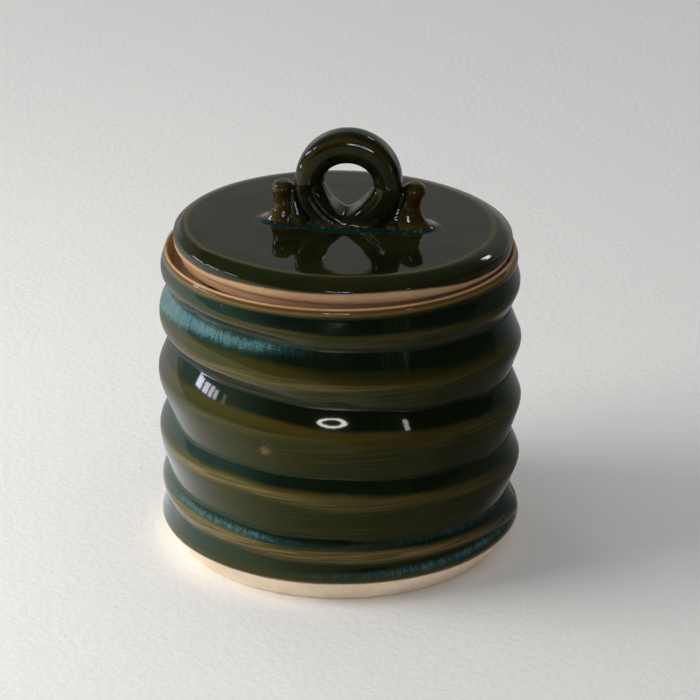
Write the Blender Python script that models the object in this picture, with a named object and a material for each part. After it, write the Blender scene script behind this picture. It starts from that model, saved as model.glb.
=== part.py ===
"""Stoneware butter keeper.

A thrown crock holds a little water. Its lid carries a bell, which holds the butter upside
down in that water, and a handle made of one coil of clay bent to a ring with curled ends.
The origin is the centre of the base, +Z is up, and the handle's ring faces -Y.
"""
import math

import bmesh
import bpy
from mathutils import Vector

# Gap between pieces that touch
TOUCH_GAP = 0.0003

# Crock, outside
FOOT_RADIUS = 0.0473
FOOT_EDGE = 0.0005
GLAZE_LINE_RADIUS = 0.05215
GLAZE_LINE_HEIGHT = 0.00665
WALL_RADIUS = 0.0514
WALL_BELLY = 0.0008
WALL_TOP = 0.0907
RIM_RADIUS = 0.0509
CROCK_HEIGHT = 0.0912

# Throwing spiral: ridges left by the potter's fingers, falling from left to right
RIDGE_START = 0.0083
RIDGE_PITCH = 0.01835
RIDGE_WAVER = 0.0017
RIDGE_FIRST_LIFT = 0.0020
RIDGE_LAST_TURN = 4.0
RIDGE_LAST_SQUEEZE = 0.65
RIDGE_DEPTH = 0.00065
RIDGE_DEPTH_BELLY = 0.0006
RIDGE_FADE_FROM = 0.0835
MOST_LAPS = 7
BASE_RING_SWELL = 0.0007
BASE_RING_WIDTH = 0.0038

# Crock, inside
INNER_RADIUS = 0.0464
INNER_BELLY = 0.0003
FLOOR_THICKNESS = 0.0062
FLOOR_CORNER = 0.0060
SEAT_HEIGHT = 0.0874
SEAT_OUTER_RADIUS = 0.0486
SEAT_ROUND = 0.0006
SEAT_UNDERCUT_BOTTOM = 0.0800
MOUTH_RADIUS = 0.0440

# Lid, measured before it leans
LID_SHIFT = 0.00086
LID_LEAN = math.radians(1.0)
LID_RADIUS = 0.04925
LID_GLAZE_HEIGHT = 0.0955
LID_TOP = 0.0981
LID_BREAK_RADIUS = 0.0460
LID_EDGE_BOTTOM = 0.0917
LID_STEP_RADIUS = 0.0473
LID_STEP_BOTTOM = 0.08855
LID_STEP_BEVEL = 0.0004
LID_UNDERSIDE = 0.0922
LID_COVE = 0.0025

# Butter bell, under the lid
BELL_RADIUS = 0.0370
BELL_WALL = 0.0045
BELL_BELLY = 0.0003
BELL_MOUTH = 0.0280
BELL_FILLET = 0.0015

# Handle
HANDLE_SHIFT = 0.00134
HANDLE_TURN = math.radians(-6.0)
HANDLE_BOTTOM = LID_TOP + TOUCH_GAP
RING_TOP = 0.1264
RING_RADIUS = 0.0155
RING_HOLE_RADIUS = 0.0068
RING_HALF_DEPTH = 0.0055
RING_SQUARENESS = 2.2

# The ring's hole: half an ellipse above its centre, narrowing below it to where the legs meet
HOLE_HALF_WIDTH = 0.0071
HOLE_RISE = 0.0057
HOLE_FALL = 0.0093
HOLE_NARROWING = 1.4
HOLE_TILT = 0.0008
HOLE_TIP_SHIFT = 0.0006

# Foot of the ring, levels up from the lid's top: (height, half width, half depth)
RING_FOOT = [
    (-0.0011, 0.0122, 0.0067), (0.0004, 0.0118, 0.0058), (0.0012, 0.0110, 0.0046),
    (0.0017, 0.0096, 0.0030)]

# Curled ends of the coil, levels up from the lid's top: (height, inner x, outer x, half depth)
LEFT_CURL = [
    (0.0000, -0.0150, -0.0240, 0.0044), (0.0013, -0.0152, -0.0228, 0.0039),
    (0.0040, -0.0154, -0.0219, 0.0034), (0.0064, -0.0157, -0.0217, 0.0032),
    (0.0084, -0.0158, -0.0221, 0.0034), (0.0102, -0.0160, -0.0219, 0.0032),
    (0.0112, -0.0168, -0.0211, 0.0023), (0.0115, -0.0179, -0.0200, 0.0012)]
RIGHT_CURL = [
    (0.0000, 0.0132, 0.0243, 0.0048), (0.0014, 0.0134, 0.0228, 0.0041),
    (0.0044, 0.0138, 0.0211, 0.0035), (0.0070, 0.0150, 0.0209, 0.0032),
    (0.0094, 0.0158, 0.0220, 0.0034), (0.0114, 0.0160, 0.0222, 0.0033),
    (0.0126, 0.0168, 0.0214, 0.0024), (0.0129, 0.0180, 0.0204, 0.0012)]

# Fineness of the solids, the size of a cutting slab, and how near two points count as one
ROUND_STEPS = 64
WALL_ROWS = 37
RING_STEPS = 40
SECTION_STEPS = 16
SLAB_SIZE = 0.040
SAME_POINT = 1e-7
ON_WALL = 1e-5


def clear_scene():
    """Remove what the file starts with."""
    for thing in list(bpy.data.objects):
        bpy.data.objects.remove(thing, do_unlink=True)


def finish_material(name, colour, roughness):
    """One Principled material for one piece."""
    material = bpy.data.materials.new(name)
    material.use_nodes = True
    shader = material.node_tree.nodes["Principled BSDF"]
    shader.inputs["Base Color"].default_value = (*colour, 1.0)
    shader.inputs["Roughness"].default_value = roughness
    shader.inputs["Metallic"].default_value = 0.0
    return material


def finished_object(name, shape, material, sharp=math.radians(50)):
    """Turn a bmesh into a named object with smooth shading."""
    bmesh.ops.recalc_face_normals(shape, faces=shape.faces)
    mesh = bpy.data.meshes.new(name)
    shape.to_mesh(mesh)
    shape.free()
    mesh.shade_smooth()
    mesh.set_sharp_from_angle(angle=sharp)
    mesh.materials.append(material)
    piece = bpy.data.objects.new(name, mesh)
    bpy.context.scene.collection.objects.link(piece)
    return piece


def smooth_step(low, high, value):
    """0 below low, 1 above high, and a smooth ramp between."""
    share = min(1.0, max(0.0, (value - low) / (high - low)))
    return share * share * (3.0 - 2.0 * share)


def arc(centre, radius, start, stop, count):
    """Points of an arc in the outline's plane, angles in degrees."""
    points = []
    for step in range(count + 1):
        angle = math.radians(start + (stop - start) * step / count)
        points.append((centre[0] + radius * math.cos(angle), centre[1] + radius * math.sin(angle)))
    return points


def turned(outline):
    """Spin an outline of (radius, height) points once round the Z axis."""
    shape = bmesh.new()
    corners = [shape.verts.new((radius, 0.0, height)) for radius, height in outline]
    for first, second in zip(corners, corners[1:]):
        shape.edges.new((first, second))
    bmesh.ops.spin(
        shape, geom=shape.verts[:] + shape.edges[:], cent=(0, 0, 0), axis=(0, 0, 1),
        angle=math.tau, steps=ROUND_STEPS, use_merge=True)
    bmesh.ops.remove_doubles(shape, verts=shape.verts, dist=SAME_POINT)
    return shape


def ridge_height(turns):
    """Height of the throwing spiral's crest after so many turns up from its start at +X."""
    if turns <= 0.0:
        return RIDGE_START
    climbed = min(turns, RIDGE_LAST_TURN)
    climbed += max(0.0, turns - RIDGE_LAST_TURN) * RIDGE_LAST_SQUEEZE
    height = RIDGE_START + RIDGE_PITCH * climbed
    height += RIDGE_WAVER * math.sin(math.tau * climbed)
    if turns < 1.0:
        height += RIDGE_FIRST_LIFT * math.sin(math.pi * turns)
    return height


def wall_radius(angle, height):
    """Outer radius of the crock's wall, with its ridges, at an angle and a height."""
    belly = math.sin(math.pi * height / CROCK_HEIGHT)
    radius = WALL_RADIUS + WALL_BELLY * belly
    depth = RIDGE_DEPTH + RIDGE_DEPTH_BELLY * belly
    turn = -angle / math.tau
    crests = [RIDGE_START] + [ridge_height(turn + lap) for lap in range(MOST_LAPS)]
    relief = 1.0
    for low, high in zip(crests, crests[1:]):
        if low <= height < high:
            closeness = min(1.0, (high - low) / RIDGE_PITCH)
            wave = math.cos(math.tau * (height - low) / (high - low))
            relief = 1.0 - closeness * (1.0 - wave)
    fade = 1.0 - smooth_step(RIDGE_FADE_FROM, WALL_TOP, height)
    swell = BASE_RING_SWELL * math.exp(-((height - RIDGE_START) / BASE_RING_WIDTH) ** 2)
    tuck = smooth_step(GLAZE_LINE_HEIGHT, RIDGE_START, height)
    ridged = radius + depth * relief * fade + swell
    return GLAZE_LINE_RADIUS + (ridged - GLAZE_LINE_RADIUS) * tuck


def crock_outline():
    """Half section of the crock, from the middle of the base round to the middle of the floor."""
    base = [
        (0.0, 0.0), (FOOT_RADIUS * 0.5, 0.0), (FOOT_RADIUS - FOOT_EDGE, 0.0),
        (FOOT_RADIUS + FOOT_EDGE * 0.5, FOOT_EDGE)]
    wall = []
    for row in range(WALL_ROWS + 1):
        height = GLAZE_LINE_HEIGHT + (WALL_TOP - GLAZE_LINE_HEIGHT) * row / WALL_ROWS
        wall.append((WALL_RADIUS, height))
    rim = [
        (RIM_RADIUS + 0.00035, CROCK_HEIGHT - 0.00015), (RIM_RADIUS, CROCK_HEIGHT),
        (RIM_RADIUS - 0.0005, CROCK_HEIGHT - 0.0001), (RIM_RADIUS - 0.0011, CROCK_HEIGHT - 0.0011),
        (SEAT_OUTER_RADIUS + 0.0005, SEAT_HEIGHT + 0.0007), (SEAT_OUTER_RADIUS, SEAT_HEIGHT)]
    seat = [
        (MOUTH_RADIUS + SEAT_ROUND, SEAT_HEIGHT), (MOUTH_RADIUS, SEAT_HEIGHT - SEAT_ROUND),
        (MOUTH_RADIUS + 0.0001, SEAT_HEIGHT - 0.0014),
        (MOUTH_RADIUS + 0.0014, SEAT_UNDERCUT_BOTTOM + 0.0032), (INNER_RADIUS, SEAT_UNDERCUT_BOTTOM)]
    inside = []
    for share in (0.3, 0.5, 0.7, 1.0):
        height = SEAT_UNDERCUT_BOTTOM + (FLOOR_THICKNESS + FLOOR_CORNER * 2 - SEAT_UNDERCUT_BOTTOM) * share
        inside.append((INNER_RADIUS + INNER_BELLY * math.sin(math.pi * share), height))
    corner = arc(
        (INNER_RADIUS - FLOOR_CORNER, FLOOR_THICKNESS + FLOOR_CORNER), FLOOR_CORNER, 0, -90, 5)
    floor = [(INNER_RADIUS * 0.5, FLOOR_THICKNESS - 0.0001), (0.0, FLOOR_THICKNESS - 0.0002)]
    return base + wall + rim + seat + inside + corner + floor


def build_crock():
    """The crock: a turned pot whose outer wall then takes the ridges of the throwing spiral."""
    shape = turned(crock_outline())
    for corner in shape.verts:
        radius = math.hypot(corner.co.x, corner.co.y)
        if abs(radius - WALL_RADIUS) < ON_WALL and corner.co.z < WALL_TOP + ON_WALL:
            angle = math.atan2(corner.co.y, corner.co.x)
            scale = wall_radius(angle, corner.co.z) / radius
            corner.co.x *= scale
            corner.co.y *= scale
    material = finish_material("crock green glaze", (0.020, 0.030, 0.012), 0.12)
    return finished_object("crock_body", shape, material)


def lid_outline():
    """Half section of the lid, from the middle of its top round to the middle of its underside."""
    top = [
        (0.0, LID_TOP), (LID_BREAK_RADIUS * 0.45, LID_TOP), (LID_BREAK_RADIUS * 0.8, LID_TOP - 0.0001),
        (LID_BREAK_RADIUS - 0.0025, LID_TOP - 0.0002), (LID_BREAK_RADIUS, LID_TOP - 0.0004)]
    shoulder = [
        (LID_RADIUS - 0.00175, LID_GLAZE_HEIGHT + 0.0017),
        (LID_RADIUS - 0.00085, LID_GLAZE_HEIGHT + 0.0011),
        (LID_RADIUS - 0.00025, LID_GLAZE_HEIGHT + 0.0005), (LID_RADIUS, LID_GLAZE_HEIGHT)]
    edge = [
        (LID_RADIUS, LID_EDGE_BOTTOM + 0.0019), (LID_RADIUS - 0.0003, LID_EDGE_BOTTOM + 0.0006),
        (LID_RADIUS - 0.0009, LID_EDGE_BOTTOM)]
    step = [
        (LID_STEP_RADIUS, LID_EDGE_BOTTOM), (LID_STEP_RADIUS, LID_STEP_BOTTOM + LID_STEP_BEVEL),
        (LID_STEP_RADIUS - LID_STEP_BEVEL, LID_STEP_BOTTOM)]
    bell_inside = BELL_RADIUS - BELL_WALL
    underside = [
        (BELL_RADIUS + LID_COVE, LID_STEP_BOTTOM), (bell_inside, LID_STEP_BOTTOM),
        (bell_inside - LID_COVE * 0.25, LID_UNDERSIDE - LID_COVE * 0.6),
        (bell_inside - LID_COVE, LID_UNDERSIDE - 0.0002),
        (bell_inside * 0.5, LID_UNDERSIDE), (0.0, LID_UNDERSIDE)]
    return top + shoulder + edge + step + underside


def build_lid():
    """The lid's plate: a flat top with a sloped shoulder, a bare edge and a step under it."""
    material = finish_material("lid green glaze", (0.022, 0.030, 0.013), 0.10)
    return finished_object("lid_plate", turned(lid_outline()), material, sharp=math.radians(35))


def bell_outline():
    """Closed half section of the butter bell: outer wall, rounded mouth, inner wall, top face."""
    top = LID_STEP_BOTTOM - TOUCH_GAP
    inner = BELL_RADIUS - BELL_WALL
    middle = (top + BELL_MOUTH) / 2
    lip = BELL_WALL / 2
    outside = [(inner, top), (BELL_RADIUS + BELL_FILLET, top), (BELL_RADIUS + 0.0004, top - 0.0005)]
    outside += [(BELL_RADIUS, top - BELL_FILLET), (BELL_RADIUS + BELL_BELLY, middle)]
    mouth = arc((BELL_RADIUS - lip, BELL_MOUTH + lip), lip, 0, -180, 8)
    inside = [(inner + BELL_BELLY, middle)]
    return outside + mouth + inside + [(inner, top)]


def build_bell():
    """The butter bell: a cup that hangs mouth down from the lid."""
    material = finish_material("bell green glaze", (0.024, 0.034, 0.018), 0.16)
    return finished_object("butter_bell", turned(bell_outline()), material, sharp=math.radians(60))


def lofted(levels):
    """Close a stack of flat ellipses, each (height, x centre, half width, half depth)."""
    shape = bmesh.new()
    rings = []
    for height, centre, half_width, half_depth in levels:
        ring = []
        for step in range(SECTION_STEPS):
            angle = math.tau * step / SECTION_STEPS
            ring.append(shape.verts.new(
                (centre + half_width * math.cos(angle), half_depth * math.sin(angle), height)))
        rings.append(ring)
    for lower, upper in zip(rings, rings[1:]):
        for step in range(SECTION_STEPS):
            after = (step + 1) % SECTION_STEPS
            shape.faces.new((lower[step], lower[after], upper[after], upper[step]))
    shape.faces.new(list(reversed(rings[0])))
    shape.faces.new(rings[-1])
    return shape


def ring_section():
    """Section of the handle's coil: an ellipse with slightly squared sides, in the XY plane."""
    coil = (RING_RADIUS - RING_HOLE_RADIUS) / 2
    points = []
    for step in range(SECTION_STEPS):
        angle = math.tau * step / SECTION_STEPS
        across, deep = math.cos(angle), math.sin(angle)
        across = math.copysign(abs(across) ** (2 / RING_SQUARENESS), across)
        deep = math.copysign(abs(deep) ** (2 / RING_SQUARENESS), deep)
        points.append(Vector((RING_RADIUS - coil + coil * across, RING_HALF_DEPTH * deep, 0.0)))
    return points


def hole_reach(down):
    """How far the hole reaches from the ring's centre, by the angle from straight down."""
    sideways = abs(math.sin(down)) / HOLE_HALF_WIDTH
    fall = math.cos(down)
    if fall > 0.0:
        narrowing = sideways ** HOLE_NARROWING + (fall / HOLE_FALL) ** HOLE_NARROWING
        return narrowing ** (-1.0 / HOLE_NARROWING)
    return 1.0 / math.hypot(sideways, fall / HOLE_RISE)


def open_hole(shape, centre):
    """Draw the ring's hole down between the legs, so that the coil is thickest at the top."""
    for corner in shape.verts:
        rise = corner.co.z - centre.z
        down = math.atan2(corner.co.x, -rise)
        inward = (RING_RADIUS - math.hypot(corner.co.x, rise)) / (RING_RADIUS - RING_HOLE_RADIUS)
        reach = RING_RADIUS - inward * (RING_RADIUS - hole_reach(down))
        low = max(0.0, math.cos(down)) ** 2 * max(0.0, 2.0 * inward - 1.0)
        corner.co.x = reach * math.sin(down) - HOLE_TIP_SHIFT * low
        corner.co.z = centre.z - reach * math.cos(down) + HOLE_TILT * low * corner.co.y / RING_HALF_DEPTH


def build_ring(lid_seat):
    """The handle's standing ring, widened where its two legs meet on the lid."""
    centre = Vector((0.0, 0.0, RING_TOP - RING_RADIUS))
    shape = bmesh.new()
    section = [shape.verts.new(centre + point) for point in ring_section()]
    for first, second in zip(section, section[1:] + section[:1]):
        shape.edges.new((first, second))
    bmesh.ops.spin(
        shape, geom=shape.verts[:] + shape.edges[:], cent=centre, axis=(0, 1, 0),
        angle=math.tau, steps=RING_STEPS, use_merge=True)
    bmesh.ops.remove_doubles(shape, verts=shape.verts, dist=SAME_POINT)
    open_hole(shape, centre)
    material = finish_material("handle olive glaze", (0.035, 0.036, 0.010), 0.10)
    ring = finished_object("handle_loop", shape, material)

    foot = lofted([(HANDLE_BOTTOM + height, 0.0, width, depth) for height, width, depth in RING_FOOT])
    foot_tool = finished_object("handle_foot_tool", foot, material)
    slab = bmesh.new()
    bmesh.ops.create_cube(slab, size=SLAB_SIZE)
    bmesh.ops.translate(slab, verts=slab.verts, vec=(0.0, 0.0, HANDLE_BOTTOM - SLAB_SIZE / 2))
    slab_tool = finished_object("lid_top_tool", slab, material)
    for tool, operation in ((foot_tool, "UNION"), (slab_tool, "DIFFERENCE")):
        tool.hide_render = True
        tool.display_type = "WIRE"
        tool.parent = lid_seat
        place_on_lid(tool)
        cut = ring.modifiers.new(tool.name, "BOOLEAN")
        cut.operation = operation
        cut.solver = "EXACT"
        cut.object = tool
    return ring


def build_curl(name, levels):
    """One curled end of the handle's coil, from its levels."""
    stack = []
    for height, inner, outer, half_depth in levels:
        stack.append((HANDLE_BOTTOM + height, (inner + outer) / 2, abs(outer - inner) / 2, half_depth))
    material = finish_material(name + " olive glaze", (0.040, 0.036, 0.010), 0.10)
    return finished_object(name, lofted(stack), material, sharp=math.radians(70))


def place_on_lid(piece):
    """Stand a handle piece at the handle's place on the lid, turned as the handle is."""
    piece.location = (HANDLE_SHIFT, 0.0, 0.0)
    piece.rotation_euler = (0.0, 0.0, HANDLE_TURN)


def build_lid_group():
    """The lid with its bell and its handle, all carried by one empty that leans as the lid does."""
    lid_seat = bpy.data.objects.new("lid_seat", None)
    bpy.context.scene.collection.objects.link(lid_seat)
    lid_seat.location = (LID_SHIFT, 0.0, 0.0)
    for piece in (build_lid(), build_bell()):
        piece.parent = lid_seat
    curls = [build_curl("handle_curl_left", LEFT_CURL), build_curl("handle_curl_right", RIGHT_CURL)]
    for piece in [build_ring(lid_seat)] + curls:
        piece.parent = lid_seat
        place_on_lid(piece)
    lean_about_seat(lid_seat)


def lean_about_seat(lid_seat):
    """Lean the lid about the Y line through the middle of its glazed edge."""
    rise = LID_GLAZE_HEIGHT * (1.0 - math.cos(LID_LEAN))
    slide = -LID_GLAZE_HEIGHT * math.sin(LID_LEAN)
    lid_seat.location = (LID_SHIFT + slide, 0.0, rise)
    lid_seat.rotation_euler = (0.0, LID_LEAN, 0.0)


clear_scene()
build_crock()
build_lid_group()
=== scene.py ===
"""Stoneware butter keeper: the finish of its crock, lid, bell and coiled handle.

The pieces are turned, coiled and joined as a potter makes them, in metres, around the frame of
solids. The glaze is a dark green one that breaks to amber where it is thin and gathers teal where
it has run, over a buff clay that stays bare at the foot, the rim and the lid's edge.
"""
import math

import bpy
import numpy as np
from bpy.props import FloatProperty, FloatVectorProperty, IntProperty, PointerProperty
from mathutils import Matrix, Vector


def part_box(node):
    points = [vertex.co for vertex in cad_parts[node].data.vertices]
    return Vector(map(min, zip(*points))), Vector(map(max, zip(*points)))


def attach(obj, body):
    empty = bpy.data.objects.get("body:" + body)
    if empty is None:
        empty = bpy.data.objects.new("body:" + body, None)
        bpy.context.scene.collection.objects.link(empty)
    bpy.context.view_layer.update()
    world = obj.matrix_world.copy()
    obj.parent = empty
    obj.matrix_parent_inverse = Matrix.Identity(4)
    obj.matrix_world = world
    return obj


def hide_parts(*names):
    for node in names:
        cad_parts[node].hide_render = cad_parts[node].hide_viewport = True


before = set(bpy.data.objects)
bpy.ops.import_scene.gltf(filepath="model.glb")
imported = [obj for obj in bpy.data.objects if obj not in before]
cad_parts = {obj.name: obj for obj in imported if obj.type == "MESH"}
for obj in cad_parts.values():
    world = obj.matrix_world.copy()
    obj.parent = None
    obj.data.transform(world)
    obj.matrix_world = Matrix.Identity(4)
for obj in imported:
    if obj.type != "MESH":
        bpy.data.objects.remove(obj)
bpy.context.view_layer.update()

bl_info = {
    "name": "Butter keeper",
    "version": (1, 0, 0),
    "blender": (4, 5, 0),
    "location": "3D View > Sidebar > Butter keeper",
    "description": "Models and glazes a thrown stoneware butter keeper",
    "category": "Add Mesh",
}

CROCK_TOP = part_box("crock_body")[1].z
MM = 0.001
TURN = math.tau

# What is closer than this counts as touching
HAIR = 0.01 * MM


def length(name, default, description):
    """A size in metres."""
    return FloatProperty(
        name=name, description=description, default=default, subtype="DISTANCE", unit="LENGTH",
        precision=5)


def colour(name, default, description):
    """A colour as linear light."""
    return FloatVectorProperty(
        name=name, description=description, default=default, subtype="COLOR", min=0.0, max=1.0)


def rotation(name, degrees, description):
    """An angle, given in degrees."""
    return FloatProperty(
        name=name, description=description, default=math.radians(degrees), subtype="ANGLE",
        unit="ROTATION")


def watts(name, default, description):
    """The power of a lamp."""
    return FloatProperty(
        name=name, description=description, default=default, subtype="POWER", unit="POWER")


class KeeperSizes(bpy.types.PropertyGroup):
    """Sizes of the thrown and coiled pieces."""

    crock_height: length("Crock height", CROCK_TOP, "From the table to the rim")
    wall_radius: length("Wall radius", 0.0514, "Outside of the wall, between crests and hollows")
    inner_radius: length("Inner radius", 0.0464, "Inside of the crock's wall")
    ridge_pitch: length("Ridge pitch", 0.01835, "Climb of the throwing spiral in one turn")
    ridge_depth: length("Ridge depth", 0.00065, "Half the step from crest to hollow, at the ends")
    ridge_belly: length("Ridge depth at the belly", 0.0006, "What that depth gains half way up")
    lid_radius: length("Lid radius", 0.04925, "Edge of the lid")
    lid_top: length("Lid top", 0.0981, "Height of the lid's top before it leans")
    bell_radius: length("Bell radius", 0.0370, "Outside of the butter bell")
    bell_mouth: length("Bell mouth", 0.0280, "Height of the bell's mouth")
    ring_radius: length("Ring radius", 0.0155, "Outside of the handle's ring")
    ring_hole: length("Ring hole", 0.0068, "Inside of the handle's ring")
    ring_top: length("Ring top", 0.1264, "Highest point of the handle before the lid leans")
    lid_lean: rotation("Lid lean", 1.0, "How far the lid leans in its seat")
    handle_turn: rotation("Handle turn", -6.0, "Turn of the handle on the lid")
    round_steps: IntProperty(
        name="Round steps", description="Faces round a turned piece", default=288, min=48)


class GlazeColours(bpy.types.PropertyGroup):
    """Colours of glaze and clay."""

    deep: colour("Deep glaze", (0.0028, 0.0050, 0.0016), "Where the glaze is thick")
    olive: colour("Olive glaze", (0.0125, 0.0135, 0.0030), "Where it has its usual thickness")
    amber: colour("Amber glaze", (0.050, 0.034, 0.006), "Where it is thin over the clay")
    moss: colour("Moss glaze", (0.036, 0.041, 0.012), "Amber glaze over a cooler ground")
    straw: colour("Straw line", (0.200, 0.140, 0.055), "Where it breaks on a crest")
    teal: colour("Teal pool", (0.006, 0.030, 0.028), "Where it has run and gathered")
    # milk also paints the glints in the lid's pool.
    milk: colour("Milky streaks", (0.085, 0.185, 0.205), "Pale streaks in the gathered glaze")
    rust: colour("Rust", (0.220, 0.080, 0.026), "Iron lines where the glaze ends on the clay")
    clay: colour("Buff clay", (0.440, 0.280, 0.150), "Bare fired clay of the rim and the lid")
    cream: colour("Cream clay", (0.940, 0.780, 0.610), "Bare fired clay of the foot")


class StudioSettings(bpy.types.PropertyGroup):
    """The floor, the light and the camera."""

    floor: colour("Floor", (0.80, 0.80, 0.785), "Pale paper under the keeper")
    backdrop: colour("Backdrop", (0.56, 0.56, 0.55), "Pale background above the floor")
    fill: colour("Fill", (0.46, 0.465, 0.465), "Light of the room from all round")
    # The room colour is painted shade: the dark cards that only the glaze mirrors.
    room: colour("Room", (0.022, 0.021, 0.018), "Dark cards round the camera")
    key_power: watts("Key power", 2.8, "Soft lamp on the left")
    wall_power: watts("Wall power", 2.8, "Broad low lamp on the left")
    back_power: watts("Back power", 2.0, "Soft lamp on the far left of the paper")
    corner_power: watts("Corner power", 0.8, "Small warm lamp on the foot's left")
    elevation: rotation("Elevation", 22.496, "Angle of the camera above the table")
    distance: length("Distance", 1.0, "From the camera to the point that it looks at")
    aim_height: length("Aim height", 0.058024, "Height of the point that the camera looks at")
    lens: FloatProperty(
        name="Lens", description="Focal length in mm on a 36 mm sensor", default=174.787, min=1.0)
    shift: FloatProperty(
        name="Shift", description="Sideways shift of the lens, as the photo is framed",
        default=0.0140)


# The throwing spiral up the crock's wall
RIDGE_START = 0.0083
RIDGE_WAVER = 0.0017
RIDGE_FIRST_LIFT = 0.0020
RIDGE_LAST_TURN = 4.0
RIDGE_LAST_SQUEEZE = 0.50
MOST_LAPS = 7
RIDGE_FADE_FROM = 0.0875

# Where a crest of the spiral leaves its even climb, in mm, by turns up from the start
CREST_SHIFTS = (
    (0.0, 0.0), (0.05, 2.0), (0.097, 2.5), (0.139, 1.8), (0.167, 1.2), (0.222, 0.0), (0.25, -0.5),
    (0.278, -0.9), (0.306, -1.1), (0.347, -0.7), (0.403, -1.0), (0.45, -0.6), (0.5, 0.0), (0.8, 0.0),
    (1.0, 0.0), (1.097, 0.4), (1.167, 0.2), (1.222, -0.8), (1.25, -1.1), (1.278, -0.6), (1.306, -0.1),
    (1.347, 0.8), (1.403, -0.1), (1.5, 0.0), (1.8, 0.0),
    (2.0, 0.0), (2.097, 0.5), (2.139, 0.0), (2.167, -0.9), (2.222, -1.5), (2.25, -2.0), (2.278, -1.5),
    (2.306, -0.7), (2.347, -0.2), (2.403, -0.2), (2.5, 0.0), (2.8, 0.0),
    (3.0, 0.0), (3.097, 0.2), (3.139, -0.9), (3.167, -1.4), (3.222, -1.8), (3.25, -2.0), (3.306, -2.2),
    (3.347, -2.0), (3.403, -2.2), (3.45, -1.2), (3.5, 0.0), (3.8, 0.0),
    (4.0, 0.0), (4.097, -1.4), (4.167, -1.2), (4.25, -1.4), (4.306, -0.8), (4.403, -0.4), (4.5, 0.0))

# Rolls between two crests, by turns up the spiral within a lap: how far up its roll the crease
# lies, how much of that is the easing from the crest, and the slopes of the flank above it
ROLL_TURNS = (0.0, 0.10, 0.139, 0.167, 0.222, 0.25, 0.278, 0.306, 0.347, 0.403, 0.50)
ROLL_CREASES = (
    (0.50, 0.31, 0.28, 0.28, 0.33, 0.38, 0.35, 0.32, 0.33, 0.34, 0.34),
    (0.45, 0.36, 0.41, 0.415, 0.46, 0.49, 0.44, 0.385, 0.36, 0.365, 0.50),
    (0.50, 0.456, 0.55, 0.57, 0.64, 0.67, 0.65, 0.66, 0.67, 0.70, 0.52),
    (0.52, 0.66, 0.70, 0.70, 0.76, 0.77, 0.765, 0.78, 0.81, 0.79, 0.50),
    (0.50, 0.60, 0.62, 0.63, 0.63, 0.63, 0.63, 0.60, 0.55, 0.50, 0.50))
ROLL_RAMPS = (
    (0.25,) * 11, (0.22,) * 11, (0.25, 0.12, 0.12, 0.12, 0.12, 0.12, 0.12, 0.12, 0.12, 0.12, 0.25),
    (0.20, 0.12, 0.12, 0.12, 0.12, 0.13, 0.155, 0.18, 0.35, 0.45, 0.30), (0.22,) * 11)
FLANK_SLOPES = (0.40, 0.315, 0.250, 0.226, 0.203, 0.200, 0.203, 0.213, 0.250, 0.33, 0.43)
FLANK_GAIN = 1.08
FLANK_BEND = 1.35
HOLLOW_LAP = 2
HOLLOW_SLOPES = (0.40, 0.39, 0.385, 0.39, 0.40, 0.40, 0.40, 0.40, 0.40, 0.46, 0.46)
TOP_LAP = 4
TOP_SLOPE = 0.235
ROLL_CREASE = 0.018
ROLL_LOW_RAMP = 0.30

# How much the wall's own slope takes off the flanks, by lap, and the same four values as above
# for the roll under the lowest crest, which joins that crest's own roll over these turns
BELLY_SLOPES = (-0.0560, -0.032, 0.018, 0.041, 0.047)
BASE_ROLL = (0.70, 0.25, 0.24, 0.40)
BASE_ROLL_JOIN = (0.45, 1.0)

# Glaze over the crests, by turns up the spiral: straw, amber, how far above the crest the amber is
# strongest, and where the thick dark glaze begins, the last two in mm
STRAW_ON_CREST = (
    (0.0, 0.1), (0.10, 0.30), (0.139, 0.50), (0.167, 0.75), (0.222, 0.90), (0.25, 0.90), (0.306, 0.80),
    (0.403, 0.80), (0.5, 0.60), (0.8, 0.40), (1.097, 0.15), (1.167, 0.20), (1.25, 0.30), (1.278, 0.50),
    (1.328, 0.70), (1.347, 0.80), (1.403, 0.70), (1.5, 0.40), (2.0, 0.10), (2.25, 0.05), (2.403, 0.15),
    (2.5, 0.10), (3.1, 0.05), (3.2, 0.20), (3.25, 0.35), (3.306, 0.50), (3.347, 0.50), (3.403, 0.40),
    (3.5, 0.30), (4.0, 0.10), (4.222, 0.15), (4.5, 0.10))
AMBER_ON_CREST = (
    (0.0, 0.3), (0.25, 0.5), (0.5, 0.4), (1.097, 0.35), (1.139, 0.5), (1.167, 0.7), (1.222, 1.0),
    (1.25, 1.1), (1.278, 1.0), (1.347, 0.8), (1.5, 0.5), (2.097, 0.3), (2.167, 0.6), (2.222, 1.0),
    (2.25, 1.1), (2.306, 1.0), (2.403, 0.8), (2.5, 0.6), (3.097, 0.35), (3.167, 0.35), (3.25, 0.45),
    (3.306, 0.75), (3.347, 0.6), (3.5, 0.5), (4.0, 0.15), (4.5, 0.2))
AMBER_ABOVE_CREST = (
    (0.0, 1.0), (0.9, 1.0), (1.0, 1.8), (1.8, 1.8), (2.1, 2.2), (2.167, 3.0), (2.222, 4.2), (2.4, 4.3),
    (2.6, 3.0), (3.15, 1.0), (3.25, 1.4), (3.306, 3.8), (3.4, 4.0), (3.6, 2.0), (4.0, 0.5))
THICK_ABOVE_CREST = (
    (0.0, 1.6), (0.8, 1.6), (1.1, 3.0), (1.167, 1.9), (1.25, 3.8), (1.306, 2.8), (1.347, 2.4),
    (1.403, 3.0), (1.7, 3.5), (2.1, 3.1), (2.167, 4.1), (2.222, 5.4), (2.306, 5.4), (2.403, 6.0),
    (2.7, 4.0), (3.1, 4.0), (3.167, 4.8), (3.25, 5.5), (3.306, 6.0), (3.403, 5.5), (3.8, 3.0),
    (4.0, 1.0))
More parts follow.
